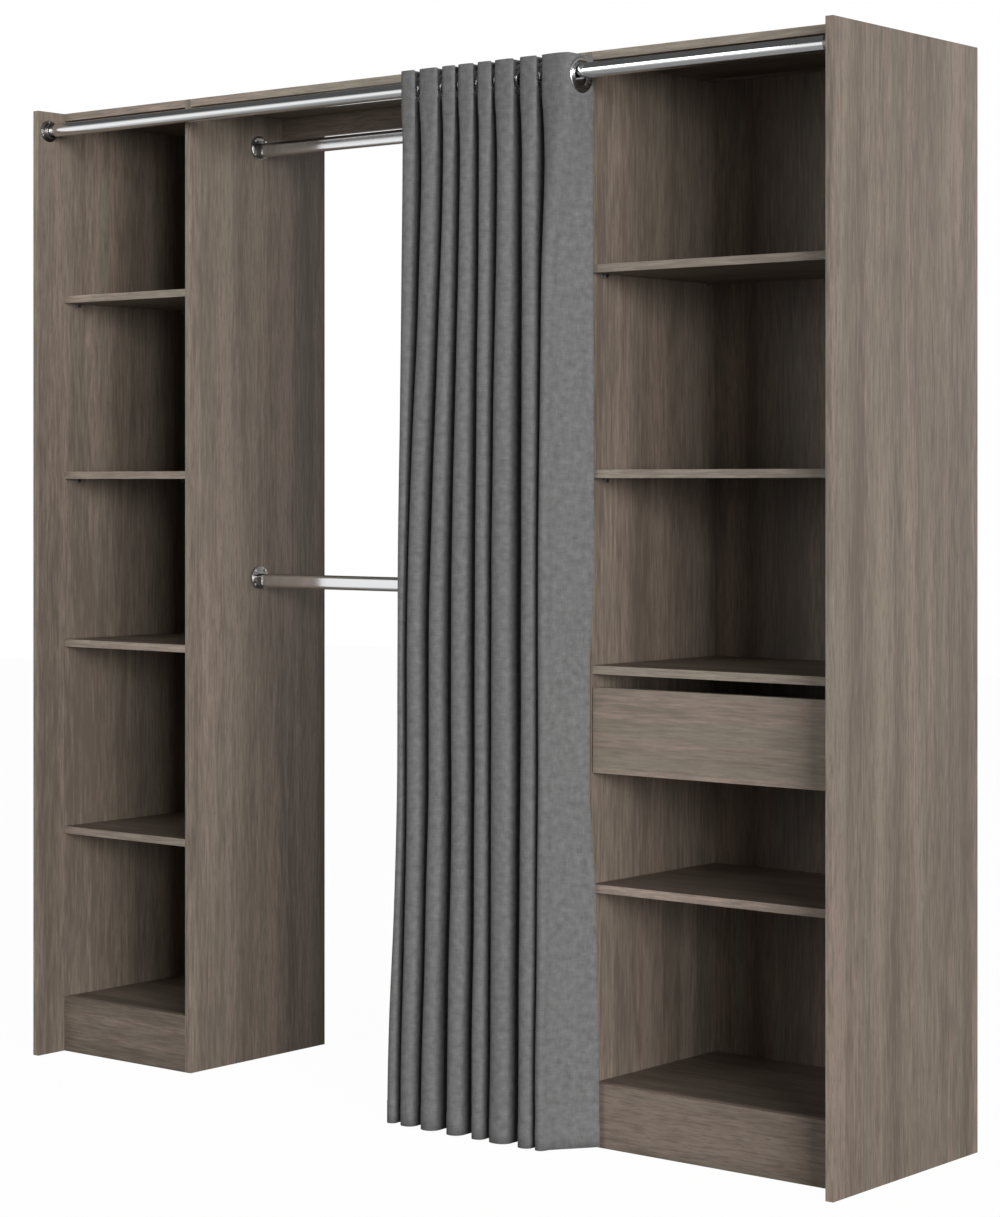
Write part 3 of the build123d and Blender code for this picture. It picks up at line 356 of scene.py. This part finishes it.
def chrome(name, colour, roughness, axis):
    """Bright plating, a mirror slightly blurred by faint drawing marks along one axis, and paler
    along them: a painted reflection.
    """
    material, tree, shader = new_finish(name, metallic=1.0)
    place = add_node(tree, "ShaderNodeTexCoord")["Object"]
    marks = stretched_noise(tree, place, mark_width, mark_length, axis, detail=2)
    smooth, rough = roughness * (1 - mark_roughness), roughness * (1 + mark_roughness)
    inputs = {"Value": marks, "To Min": smooth, "To Max": rough}
    tree.links.new(add_node(tree, "ShaderNodeMapRange", inputs)[0], shader.inputs["Roughness"])
    # The base colour is paler along the marks: painted reflection streaks.
    inputs = {0: marks, 6: linear(colour), 7: linear("#ffffff")}
    painted_reflection_streaks = add_node(tree, "ShaderNodeMix", inputs, data_type="RGBA")[2]
    inputs = {0: painted_reflection_share, 6: linear(colour), 7: painted_reflection_streaks}
    tint = add_node(tree, "ShaderNodeMix", inputs, data_type="RGBA")[2]
    tree.links.new(tint, shader.inputs["Base Color"])
    inputs = {"Height": marks, "Strength": mark_relief, "Distance": mark_depth}
    relief = add_node(tree, "ShaderNodeBump", inputs)
    tree.links.new(relief["Normal"], shader.inputs["Normal"])
    return material


def open_tube(centre, length, radius, wall, sides):
    """A round tube along X: a cylinder with its two ends inset by the wall and bridged."""
    bpy.ops.object.select_all(action="DESELECT")
    bpy.ops.mesh.primitive_cylinder_add(
        vertices=sides,
        radius=radius,
        depth=length,
        location=centre,
        rotation=(0, math.pi / 2, 0),
    )
    tube = bpy.context.object
    bpy.ops.object.transform_apply(location=True, rotation=True, scale=True)
    bpy.ops.object.mode_set(mode="EDIT")
    bpy.ops.mesh.select_mode(type="FACE")
    bpy.ops.mesh.select_all(action="DESELECT")
    shape = bmesh.from_edit_mesh(tube.data)
    for face in shape.faces:
        face.select_set(abs(face.normal.x) > facing_limit)
    bmesh.update_edit_mesh(tube.data)
    bpy.ops.mesh.inset(thickness=wall)
    bpy.ops.mesh.bridge_edge_loops()
    bpy.ops.object.mode_set(mode="OBJECT")
    return tube


def break_edges(piece, width, segments=bevel_segments, angle=sharp_angle):
    """Rounds a piece's sharp edges with an applied Bevel, and smooths what is nearly flat."""
    choose(piece)
    rounding = piece.modifiers.new("eased_edges", "BEVEL")
    rounding.width = width
    rounding.segments = segments
    rounding.limit_method = "ANGLE"
    rounding.angle_limit = math.radians(angle)
    bpy.ops.object.modifier_apply(modifier=rounding.name)
    bpy.ops.object.shade_smooth_by_angle(angle=math.radians(angle))


rod_chrome = chrome("curtain_rod_chrome", "#e6e7e8", roughness=0.09, axis="X")
low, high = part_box("curtain_rod")
rod = open_tube((low + high) / 2, high.x - low.x, rod_radius, rod_wall, rod_sides)
rod.name = "curtain_rod_tube"
break_edges(rod, rod_rim)
dress(rod, [rod_chrome], "cabinet", "chrome_rod", "curtain_rod")

# The rod's sockets: die-cast zinc with dark nickel plating, each a round plate with a cup that
# takes the end of the rod, screwed to the side panel with three screws.
socket_easing = 0.0007
smooth_angle = 35
socket_nickel = chrome("dark_nickel", "#6f6a65", roughness=0.3, axis="Y")


def smooth_copy(node, easing=0, angle=sharp_angle):
    """An eased copy of a CAD node, shaded smooth over its curves."""
    piece = eased_copy(node, easing, angle=angle)
    bpy.ops.object.shade_smooth_by_angle(angle=math.radians(smooth_angle))
    return piece


for hand in ("left", "right"):
    node = f"{hand}_curtain_rod_socket"
    socket = smooth_copy(node, socket_easing)
    dress(socket, [socket_nickel], "cabinet", "chrome_rod", node)

# The two hanging rails: oval steel tubes, 30 by 15 mm, chromed. Each lies in two open cradles,
# which are zinc castings with the same dark plating, screwed to the inner panels.
rail_chrome = chrome("hanging_rail_chrome", "#e2e3e4", roughness=0.12, axis="X")
for level in ("upper", "lower"):
    node = f"{level}_hanging_rail"
    dress(smooth_copy(node), [rail_chrome], "cabinet", "chrome_rail", node)
    for hand in ("left", "right"):
        node = f"{level}_rail_{hand}_socket"
        socket = smooth_copy(node, socket_easing)
        dress(socket, [socket_nickel], "cabinet", "chrome_rail", node)

# Screws, shelf pins and cam bolts: turned and rolled from steel wire, zinc plated. Cams are cast
# zinc. Dowels are beech, and are glued into one board of each joint.
plating_spot = 0.004
plating_detail = 3
fitting_easing = 0.0002
dowel_easing = 0.0006
small_part_angle = 50
vessel_width = 0.0008
vessel_length = 0.02

# Zinc plate and bare cast zinc: dull bright metal with a faint cloudiness, and the cast duller.
zinc_plate, cam_zinc = [
    clouded(name, plating_spot, plating_detail, dark, light, metallic=1.0, roughness=roughness)[0]
    for name, dark, light, roughness in (
        ("zinc_plated_steel", "#8f9298", "#c3c6ca", 0.3),
        ("cam_zinc", "#85878b", "#aeb0b3", 0.42),
    )
]
for node, finish, slot, body in (
    ("socket_screws", zinc_plate, "zinc_plated_steel", "cabinet"),
    ("left_shelf_pins", zinc_plate, "zinc_plated_steel", "cabinet"),
    ("right_shelf_pins", zinc_plate, "zinc_plated_steel", "cabinet"),
    ("runner_screws", zinc_plate, "zinc_plated_steel", "cabinet"),
    ("drawer_screws", zinc_plate, "zinc_plated_steel", "drawer"),
    ("cam_bolts", zinc_plate, "zinc_plated_steel", "cabinet"),
    ("cam_locks", cam_zinc, "cam_metal", "cabinet"),
):
    fitting = smooth_copy(node, fitting_easing, small_part_angle)
    dress(fitting, [finish], body, slot, node)
# Turned beech: pale and dull, with fine darker flecks along the dowel.
beech, tree, shader = new_finish("beech_dowel_wood", roughness=0.75)
place = add_node(tree, "ShaderNodeTexCoord")["Object"]
flecks = stretched_noise(tree, place, vessel_width, vessel_length, "X", detail=3)
inputs = {0: flecks, 6: linear("#b08a5c"), 7: linear("#dcbd8e")}
colour = add_node(tree, "ShaderNodeMix", inputs, data_type="RGBA")[2]
tree.links.new(colour, shader.inputs["Base Color"])
for node, body in (("dowels", "cabinet"), ("drawer_dowels", "drawer")):
    dowels = smooth_copy(node, dowel_easing, small_part_angle)
    dress(dowels, [beech], body, "beech_dowel", node)

# The roller runners: folded steel channel with a white powder coat, one pair on the drawer's sides
# and one on the panels. Each has a plastic roller on a riveted axle.
runner_easing = 0.0003
roller_easing = 0.0004
powder_grain = 0.0011
powder_depth = 0.00005
powder_relief = 0.15
tread_spot = 0.002
# Powder coat: an even warm white, with a fine ripple that breaks up its gloss.
powder_coat, tree, shader, orange_peel = clouded(
    "white_powder_coat", powder_grain, detail=2, dark="#d9d8d3", light="#e6e5e1", roughness=0.42
)
inputs = {"Height": orange_peel, "Strength": powder_relief, "Distance": powder_depth}
tree.links.new(add_node(tree, "ShaderNodeBump", inputs)["Normal"], shader.inputs["Normal"])
# Moulded nylon: off-white, duller than the coat, and slightly scuffed by rolling.
roller_nylon = clouded(
    "roller_nylon", tread_spot, detail=2, dark="#c9c8c2", light="#dddcd6", roughness=0.55
)[0]
for hand in ("left", "right"):
    for owner in ("cabinet", "drawer"):
        node = f"{hand}_{owner}_runner"
        runner = smooth_copy(node, runner_easing, small_part_angle)
        dress(runner, [powder_coat], owner, "runner_sheet", node)
        node = f"{hand}_{owner}_roller"
        roller = smooth_copy(node, roller_easing, small_part_angle)
        dress(roller, [roller_nylon], node, "roller_plastic", node)

# The curtain: one width of heathered grey polyester weave, 1.69 m by 2.02 m, hemmed all round and
# drawn together to the right. It hangs in eight folds, and crosses the rod sixteen times.
cloth_thickness = 0.0013
hem_thickness = 0.0024
hem_height = 0.042
hem_step = 0.0008
heading_height = 0.098
side_hem_width = 0.018
cloth_end_length = 0.024
cloth_flat_width = 1.69
rod_y = -0.195
eyelet_z = 1.9813
eyelet_hole_radius = 0.0245
eyelet_hole_reach = 0.008
last_crossing = 15
turn_steps = 14
turn_fullness = 0.86
turn_share = 0.8
run_steps = 12
row_spacing = 0.024
heading_row_spacing = 0.0045
heading_rows_foot = 0.034
sway_share = 0.14
sway_drop = 0.5
sway_spots = (3.7, 1.9, 2.5)
crease_depth = 0.0011
crease_drop = 0.4
crease_spots = (22, 5, 0.3)
flattening_drop = 0.35
rounding_drop = 0.12
rounding_lead = 0.01
last_panel_turn = 0.022
# Beside the drawer, the cloth's right edge keeps clear of its way out.
drawer_heights = (0.67, 0.875)
edge_ease = 0.2
edge_room = 0.0004
# Each level's crossings are shares of its width, and its fronts and backs say where along Y its
# turns end.
cloth_levels = (
    {
        "height": 2.019,
        "right": 0.4492,
        "width": 0.4051,
        "crossings": (
            0, 0.062, 0.113, 0.203, 0.255, 0.309, 0.353, 0.421,
            0.471, 0.529, 0.573, 0.662, 0.722, 0.798, 0.848, 1,
        ),
        "fronts": [-0.2382] * 8,
        "backs": [-0.1538] * 9,
        "front_depth": 0.0088,
        "back_depth": 0.0068,
        "end_depth": 0.0068,
        "edge_reach": 0,
        "front_lean": 0.011,
    },
    {
        "height": 0.876,
        "right": 0.44,
        "width": 0.4,
        "crossings": (
            0, 0.027, 0.051, 0.134, 0.193, 0.273, 0.333, 0.418,
            0.481, 0.543, 0.574, 0.679, 0.756, 0.828, 0.858, 1,
        ),
        "fronts": (-0.244, -0.2472, -0.2487, -0.2505, -0.248, -0.2494, -0.248, -0.2465),
        "backs": (
            -0.1587, -0.162, -0.1567, -0.1604, -0.1587, -0.1629, -0.1596, -0.1612, -0.1532,
        ),
        "front_depth": 0.028,
        "back_depth": 0.018,
        "end_depth": 0.003,
        "edge_reach": 0.01,
        "front_lean": 0.003,
    },
    {
        "height": 0.004,
        "right": 0.4572,
        "width": 0.4359,
        "crossings": (
            0, 0.041, 0.074, 0.147, 0.189, 0.277, 0.344, 0.426,
            0.485, 0.543, 0.58, 0.676, 0.741, 0.809, 0.831, 1,
        ),
        "fronts": (-0.2537, -0.2566, -0.258, -0.2602, -0.2573, -0.2591, -0.2577, -0.2559),
        "backs": (
            -0.1703, -0.1744, -0.1682, -0.1732, -0.1699, -0.1748, -0.1707, -0.1723, -0.1532,
        ),
        "front_depth": 0.028,
        "back_depth": 0.018,
        "end_depth": 0.007,
        "edge_reach": 0.007,
        "front_lean": 0.002,
    },
)
# At these heights the cloth starts to ease from one level to the next.
heading_foot, middle_foot = 1.9363, 0.693


def held_in(share):
    """A share held between 0 and 1."""
    return min(max(share, 0), 1)


def gently(share):
    """A share held between 0 and 1, with a gentle start and end."""
    share = held_in(share)
    return share * share * (3 - 2 * share)


def between(first, second, share):
    """The value that lies at a share of the way from the first to the second."""
    return first + (second - first) * share


def cloth_at(height):
    """The cloth's measures at one height, easing from each of the three levels to the next."""
    heading, middle, foot = cloth_levels
    if height > middle["height"]:
        above, below, start = heading, middle, heading_foot
    else:
        above, below, start = middle, foot, middle_foot
    share = gently((start - height) / (start - below["height"]))
    found = {}
    for name, value in above.items():
        if isinstance(value, (int, float)):
            found[name] = between(value, below[name], share)
        else:
            found[name] = [between(a, b, share) for a, b in zip(value, below[name])]
    rounded = held_in((heading_foot + rounding_lead - height) / rounding_drop)
    for name in ("front_depth", "back_depth"):
        found[name] = max(found[name], between(above[name], middle[name], rounded))
    lean = between(above["front_lean"], middle["front_lean"], rounded)
    found["front_lean"] = min(found["front_lean"], lean)
    return found


def crossing_places(level):
    """Where along the rod the cloth crosses it."""
    return [level["right"] - level["width"] * (1 - share) for share in level["crossings"]]


def turn_points(from_x, to_x, edge_y, depth, lean=0):
    """One rounded turn of the cloth in plan, leaning to the right, and at the back if below 0."""
    middle, reach = (from_x + to_x) / 2, (to_x - from_x) / 2
    points = []
    for step in range(turn_steps + 1):
        angle = math.pi * step / turn_steps
        along, out = math.cos(angle), abs(math.sin(angle))
        along = math.copysign(abs(along) ** turn_fullness, along)
        bulge = lean * max(0, -math.sin(2 * angle))
        x, y = middle - reach * along + bulge, edge_y + depth * (1 - out**turn_fullness)
        points.append((x, y))
    return points


def cloth_row(height):
    """The cloth's line in plan at one height: straight runs across the rod, turns between."""
    level = cloth_at(height)
    crossings = crossing_places(level)
    slack = held_in((heading_foot - height) / sway_drop)
    for index in range(1, last_crossing):
        before, here, after = crossings[index - 1 : index + 2]
        spot = (index * sway_spots[0], height * sway_spots[1], sway_spots[2])
        sway = noise.noise(Vector(spot))
        crossings[index] += sway_share * slack * sway * min(after - here, here - before)
    past_drawer = max(drawer_heights[0] - height, height - drawer_heights[1], 0)
    aside = gently(past_drawer / edge_ease)
    crossings[last_crossing] += level["edge_reach"] * aside - edge_room * (1 - aside)
    flatness = gently((heading_foot - height) / flattening_drop)
    end_depth = -level["end_depth"]
    half = turn_steps // 2
    first_x, last_x = [crossings[end] - 2 * cloth_end_length for end in (0, last_crossing)]
    turns = [turn_points(first_x, crossings[0], level["backs"][0], end_depth)[half:]]
    for index in range(last_crossing):
        from_x, to_x = crossings[index], crossings[index + 1]
        is_last = index == last_crossing - 1
        if is_last:
            to_x += (from_x + last_panel_turn - to_x) * flatness
        deepest = turn_share * (to_x - from_x)
        if index % 2 == 0:
            edge_y, depth = level["fronts"][index // 2], min(level["front_depth"], deepest)
            lean = 0 if is_last else level["front_lean"]
        else:
            edge_y, depth = level["backs"][index // 2 + 1], -min(level["back_depth"], deepest)
            lean = 0
        turns.append(turn_points(from_x, to_x, edge_y, depth, lean))
    last_turn = turn_points(crossings[last_crossing], last_x, level["backs"][-1], end_depth)
    turns.append(last_turn[: half + 1])
    line = list(turns[0])
    for turn in turns[1:]:
        (start_x, start_y), (end_x, end_y) = line[-1], turn[0]
        for step in range(1, run_steps):
            share = step / run_steps
            line.append((between(start_x, end_x, share), between(start_y, end_y, share)))
        line += turn
    return line


cloth_top, cloth_foot = cloth_levels[0]["height"], cloth_levels[2]["height"]
row_heights = [cloth_top]
while row_heights[-1] > eyelet_z - heading_rows_foot:
    row_heights.append(row_heights[-1] - heading_row_spacing)
skirt_rows = math.ceil((row_heights[-1] - cloth_foot) / row_spacing)
skirt_step = (row_heights[-1] - cloth_foot) / skirt_rows
row_heights += [row_heights[-1] - skirt_step * (k + 1) for k in range(skirt_rows)]
row_heights[-1] = cloth_foot
for edge_z in (cloth_top - heading_height, cloth_foot + hem_height):
    row_heights += [edge_z + hem_step, edge_z - hem_step]
row_heights.sort(reverse=True)
rows = [cloth_row(height) for height in row_heights]
cloth_mesh = bpy.data.meshes.new("grey_curtain_cloth")
curtain = bpy.data.objects.new("grey_curtain_cloth", cloth_mesh)
bpy.context.scene.collection.objects.link(curtain)
shape = bmesh.new()
flat_places = shape.loops.layers.uv.new("cloth_metres")
corner_rows, flat_rows = [], []
for row, height in zip(rows, row_heights):
    lengths = [0.0]
    for (x0, y0), (x1, y1) in zip(row, row[1:]):
        lengths.append(lengths[-1] + math.hypot(x1 - x0, y1 - y0))
    flat_rows.append([length / lengths[-1] * cloth_flat_width for length in lengths])
    corner_rows.append([shape.verts.new((x, y, height)) for x, y in row])
for r in range(len(row_heights) - 1):
    for c in range(len(rows[0]) - 1):
        places = ((r, c), (r + 1, c), (r + 1, c + 1), (r, c + 1))
        face = shape.faces.new([corner_rows[i][j] for i, j in places])
        face.smooth = True
        for loop, (i, j) in zip(face.loops, places):
            loop[flat_places].uv = (flat_rows[i][j], row_heights[i])
shape.normal_update()
moves = []
for row, flat_row, height in zip(corner_rows, flat_rows, row_heights):
    slack = held_in((heading_foot - height) / crease_drop)
    for corner, along in zip(row, flat_row):
        spot = (along * crease_spots[0], height * crease_spots[1], crease_spots[2])
        crease = noise.noise(Vector(spot))
        moves.append((corner, corner.normal * crease_depth * slack * crease))
for corner, move in moves:
    corner.co += move
eyelet_centre = Vector((0, rod_y, eyelet_z))


def from_eyelet(place):
    """How far a place lies from the eyelets' common axis, and the way out from it."""
    out = Vector((0, place.y, place.z)) - eyelet_centre
    return out.length, out.normalized()


cut_out = [
    face for face in shape.faces if from_eyelet(face.calc_center_median())[0] < eyelet_hole_radius
]
bmesh.ops.delete(shape, geom=cut_out, context="FACES")
for corner in shape.verts:
    distance, out = from_eyelet(corner.co)
    if corner.is_boundary and distance < eyelet_hole_radius + eyelet_hole_reach:
        edge_place = eyelet_centre + out * eyelet_hole_radius
        corner.co.y, corner.co.z = edge_place.y, edge_place.z
shape.to_mesh(cloth_mesh)
shape.free()
doubled = curtain.vertex_groups.new(name="hems")
for corner in cloth_mesh.vertices:
    in_hem = corner.co.z < cloth_foot + hem_height or corner.co.z > cloth_top - heading_height
    doubled.add([corner.index], 1.0 if in_hem else 0.0, "REPLACE")
choose(curtain)
thickening = curtain.modifiers.new("cloth_and_hems", "SOLIDIFY")
thickening.thickness = hem_thickness
thickening.offset = 0
thickening.vertex_group = doubled.name
thickening.thickness_vertex_group = cloth_thickness / hem_thickness
bpy.ops.object.modifier_apply(modifier=thickening.name)

# Heathered weave: dull, with slubs and a soft mottle of two greys, and a bare trace of sheen. Its
# yarns lie about 0.4 mm apart, too fine to show, and are drawn nearly three times as coarse.
yarn_pitch = 0.0011
yarn_depth = 0.0002
yarn_relief = 0.25
slub_length = 0.03
mottle_size = 0.014
mottle_weight = 1.6
heather_range = (1.2, 2.4)
stitch_pitch = 0.0034
stitch_width = 0.0006
stitch_share = 0.72
stitch_inset = 0.003
weave, tree, shader = new_finish("heathered_grey_weave", roughness=0.92, sheen_weight=0.1)
flat_place = add_node(tree, "ShaderNodeUVMap", uv_map="cloth_metres")["UV"]
along_place = add_node(tree, "ShaderNodeSeparateXYZ", {"Vector": flat_place})
weft = stretched_noise(tree, flat_place, yarn_pitch, slub_length, "X", detail=2)
warp = stretched_noise(tree, flat_place, yarn_pitch, slub_length, "Y", detail=2)
inputs = {"Vector": flat_place, "Scale": 1 / mottle_size, "Detail": 4}
mottle = add_node(tree, "ShaderNodeTexNoise", inputs)["Fac"]
yarns = add_node(tree, "ShaderNodeMath", {0: weft, 1: warp}, operation="ADD")[0]
inputs = {0: mottle, 1: mottle_weight, 2: yarns}
yarns = add_node(tree, "ShaderNodeMath", inputs, operation="MULTIPLY_ADD")[0]
inputs = {"Value": yarns, "From Min": heather_range[0], "From Max": heather_range[1]}
heather = add_node(tree, "ShaderNodeMapRange", inputs)[0]
inputs = {0: heather, 6: linear("#5f5f5f"), 7: linear("#878787")}
colour = add_node(tree, "ShaderNodeMix", inputs, data_type="RGBA")[2]
ribs = []
for axis in ("X", "Y"):
    inputs = {0: along_place[axis], 1: math.pi / yarn_pitch}
    turns = add_node(tree, "ShaderNodeMath", inputs, operation="MULTIPLY")[0]
    ribs.append(add_node(tree, "ShaderNodeMath", {0: turns}, operation="SINE")[0])
relief = add_node(tree, "ShaderNodeMath", {0: ribs[0], 1: ribs[1]}, operation="MULTIPLY")[0]
relief = add_node(tree, "ShaderNodeMath", {0: relief}, operation="ABSOLUTE")[0]
stitched = None
for axis, other, line_place in (
    ("Y", "X", cloth_foot + hem_height - stitch_inset),
    ("Y", "X", cloth_top - heading_height + stitch_inset),
    ("X", "Y", side_hem_width),
    ("X", "Y", cloth_flat_width - side_hem_width),
):
    inputs = {0: along_place[axis], 1: line_place, 2: stitch_width / 2}
    on_line = add_node(tree, "ShaderNodeMath", inputs, operation="COMPARE")[0]
    inputs = {0: along_place[other], 1: 1 / stitch_pitch}
    steps = add_node(tree, "ShaderNodeMath", inputs, operation="MULTIPLY")[0]
    part = add_node(tree, "ShaderNodeMath", {0: steps}, operation="FRACT")[0]
    inputs = {0: part, 1: stitch_share}
    dash = add_node(tree, "ShaderNodeMath", inputs, operation="LESS_THAN")[0]
    dash = add_node(tree, "ShaderNodeMath", {0: dash, 1: on_line}, operation="MULTIPLY")[0]
    if stitched is None:
        stitched = dash
    else:
        inputs = {0: stitched, 1: dash}
        stitched = add_node(tree, "ShaderNodeMath", inputs, operation="MAXIMUM")[0]
inputs = {0: stitched, 6: colour, 7: linear("#818181")}
colour = add_node(tree, "ShaderNodeMix", inputs, data_type="RGBA")[2]
tree.links.new(colour, shader.inputs["Base Color"])
relief = add_node(tree, "ShaderNodeMath", {0: relief, 1: stitched}, operation="ADD")[0]
inputs = {"Height": relief, "Strength": yarn_relief, "Distance": yarn_depth}
bump = add_node(tree, "ShaderNodeBump", inputs)
tree.links.new(bump["Normal"], shader.inputs["Normal"])
dress(curtain, [weave], "curtain", "grey_curtain_cloth", "curtain_fabric")

# The eyelets: chromed steel, pressed together from a barrel that goes through the cloth and a
# domed ring on each face. The rod passes through with play, and the cloth hangs from it by them.
ring_middle_radius = 0.0275
ring_half_width = 0.006
ring_half_thickness = 0.0014
ring_offset = 0.0021
ring_sides = 72
ring_facets = 14
barrel_radius = 0.0236
barrel_wall = 0.0026
barrel_length = 0.0062
barrel_easing = 0.0009
eyelet_smooth_angle = 40
rings = []
for side in (-1, 1):
    bpy.ops.mesh.primitive_torus_add(
        major_radius=ring_middle_radius,
        minor_radius=ring_half_width,
        major_segments=ring_sides,
        minor_segments=ring_facets,
        location=(side * ring_offset, rod_y, eyelet_z),
        rotation=(0, math.pi / 2, 0),
    )
    ring = bpy.context.object
    ring.scale.z = ring_half_thickness / ring_half_width
    bpy.ops.object.transform_apply(location=True, rotation=True, scale=True)
    rings.append(ring)
barrel = open_tube(eyelet_centre, barrel_length, barrel_radius, barrel_wall, ring_sides)
break_edges(barrel, barrel_easing, segments=3)
choose(barrel, *rings)
bpy.ops.object.join()
bpy.ops.object.shade_smooth_by_angle(angle=math.radians(eyelet_smooth_angle))
copies = []
for crossing_x in crossing_places(cloth_levels[0]):
    eyelet = bpy.data.objects.new("eyelet", barrel.data.copy())
    bpy.context.scene.collection.objects.link(eyelet)
    eyelet.location.x = crossing_x
    copies.append(eyelet)
bpy.data.objects.remove(barrel)
choose(*copies)
bpy.ops.object.join()
eyelets = bpy.context.object
eyelets.name = "chromed_eyelets"
bpy.ops.object.transform_apply(location=True, rotation=True, scale=True)
eyelet_chrome = chrome("eyelet_chrome", "#e4e5e6", roughness=0.26, axis="Y")
dress(eyelets, [eyelet_chrome], "curtain", "eyelet_metal", "curtain_eyelets")

# The studio: a white room with a pale floor. Most of the light comes from a wide lamp far to the
# right, with weaker ones in front to the left and behind. Only mirror rays see the dark ceiling,
# and a floor that turns from grey near the unit to white: the chrome's dark and bright lines.
room_light = 0.054
ceiling_light = 0.02
ceiling_dimming = 0.93
ceiling_rise = (0.08, 0.38)
floor_width = 24
floor_glow = 1.15
floor_glow_share = 0.85
mirrored_glow_share = 0.2
grey_floor_reach = 3
white_floor_reach = 8
lamps_aim = Vector((0, 0, 1))
white = linear("#ffffff")
world = bpy.data.worlds.new("white_studio")
bpy.context.scene.world = world
world.use_nodes = True
tree = world.node_tree
tree.nodes.clear()


def seen_directly(tree):
    """1 for camera, mirror and glass rays, which see plain white, and 0 for rays that light."""
    ray = add_node(tree, "ShaderNodeLightPath")
    inputs = {0: ray["Is Camera Ray"], 1: ray["Is Glossy Ray"]}
    seen = add_node(tree, "ShaderNodeMath", inputs, operation="MAXIMUM")[0]
    inputs = {0: seen, 1: ray["Is Transmission Ray"]}
    seen = add_node(tree, "ShaderNodeMath", inputs, operation="MAXIMUM")[0]
    return seen, ray["Is Glossy Ray"]


seen, mirrored = seen_directly(tree)
lit_room, white_room, ceiling = [
    add_node(tree, "ShaderNodeBackground", {"Color": white, "Strength": light})["Background"]
    for light in (room_light, 1, ceiling_light)
]
direction = add_node(tree, "ShaderNodeTexCoord")["Generated"]
upward = add_node(tree, "ShaderNodeSeparateXYZ", {0: direction})["Z"]
inputs = {
    "Value": upward,
    "From Min": ceiling_rise[0],
    "From Max": ceiling_rise[1],
    "To Min": 0,
    "To Max": ceiling_dimming,
}
dimmed = add_node(tree, "ShaderNodeMapRange", inputs)[0]
dimmed = add_node(tree, "ShaderNodeMath", {0: dimmed, 1: mirrored}, operation="MULTIPLY")[0]
room = add_node(tree, "ShaderNodeMixShader", {0: seen, 1: lit_room, 2: white_room})["Shader"]
room = add_node(tree, "ShaderNodeMixShader", {0: dimmed, 1: room, 2: ceiling})["Shader"]
add_node(tree, "ShaderNodeOutputWorld", {"Surface": room})
for lamp_name, place, width, height, watts in (
    ("right_hand_lamp", (16.9, -9.0, 3.2), 10.5, 6, 3230),
    ("left_hand_lamp", (-2.5, -6.5, 2.6), 3.4, 3.4, 104),
    ("rear_lamp", (3.0, 9.0, 3.2), 4, 4, 58),
):
    lamp_data = bpy.data.lights.new(lamp_name, "AREA")
    lamp_data.shape = "RECTANGLE"
    lamp_data.size = width
    lamp_data.size_y = height
    lamp_data.energy = watts
    lamp = bpy.data.objects.new(lamp_name, lamp_data)
    bpy.context.scene.collection.objects.link(lamp)
    lamp.location = place
    lamp.rotation_euler = (lamps_aim - lamp.location).to_track_quat("-Z", "Y").to_euler()
bpy.ops.object.select_all(action="DESELECT")
bpy.ops.mesh.primitive_plane_add(size=floor_width)
floor = bpy.context.object
floor.name = "studio_floor"
floor_paint = bpy.data.materials.new("pale_floor_paint")
floor_paint.use_nodes = True
tree = floor_paint.node_tree
tree.nodes.clear()
seen, mirrored = seen_directly(tree)
floor_place = add_node(tree, "ShaderNodeTexCoord")["Object"]
reach = add_node(tree, "ShaderNodeVectorMath", {0: floor_place}, operation="LENGTH")["Value"]
inputs = {
    "Value": reach,
    "From Min": grey_floor_reach,
    "From Max": white_floor_reach,
    "To Min": mirrored_glow_share - floor_glow_share,
    "To Max": 0,
}
less_glow = add_node(tree, "ShaderNodeMapRange", inputs)[0]
inputs = {0: less_glow, 1: mirrored, 2: floor_glow_share}
glow_share = add_node(tree, "ShaderNodeMath", inputs, operation="MULTIPLY_ADD")[0]
inputs = {0: seen, 1: glow_share}
glow_share = add_node(tree, "ShaderNodeMath", inputs, operation="MULTIPLY")[0]
paint = add_node(tree, "ShaderNodeBsdfDiffuse", {"Color": linear("#8a8987")})["BSDF"]
inputs = {"Color": white, "Strength": floor_glow}
glow = add_node(tree, "ShaderNodeEmission", inputs)["Emission"]
surface = add_node(tree, "ShaderNodeMixShader", {0: glow_share, 1: paint, 2: glow})["Shader"]
add_node(tree, "ShaderNodeOutputMaterial", {"Surface": surface})
floor.data.materials.append(floor_paint)
floor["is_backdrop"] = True

low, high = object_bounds()
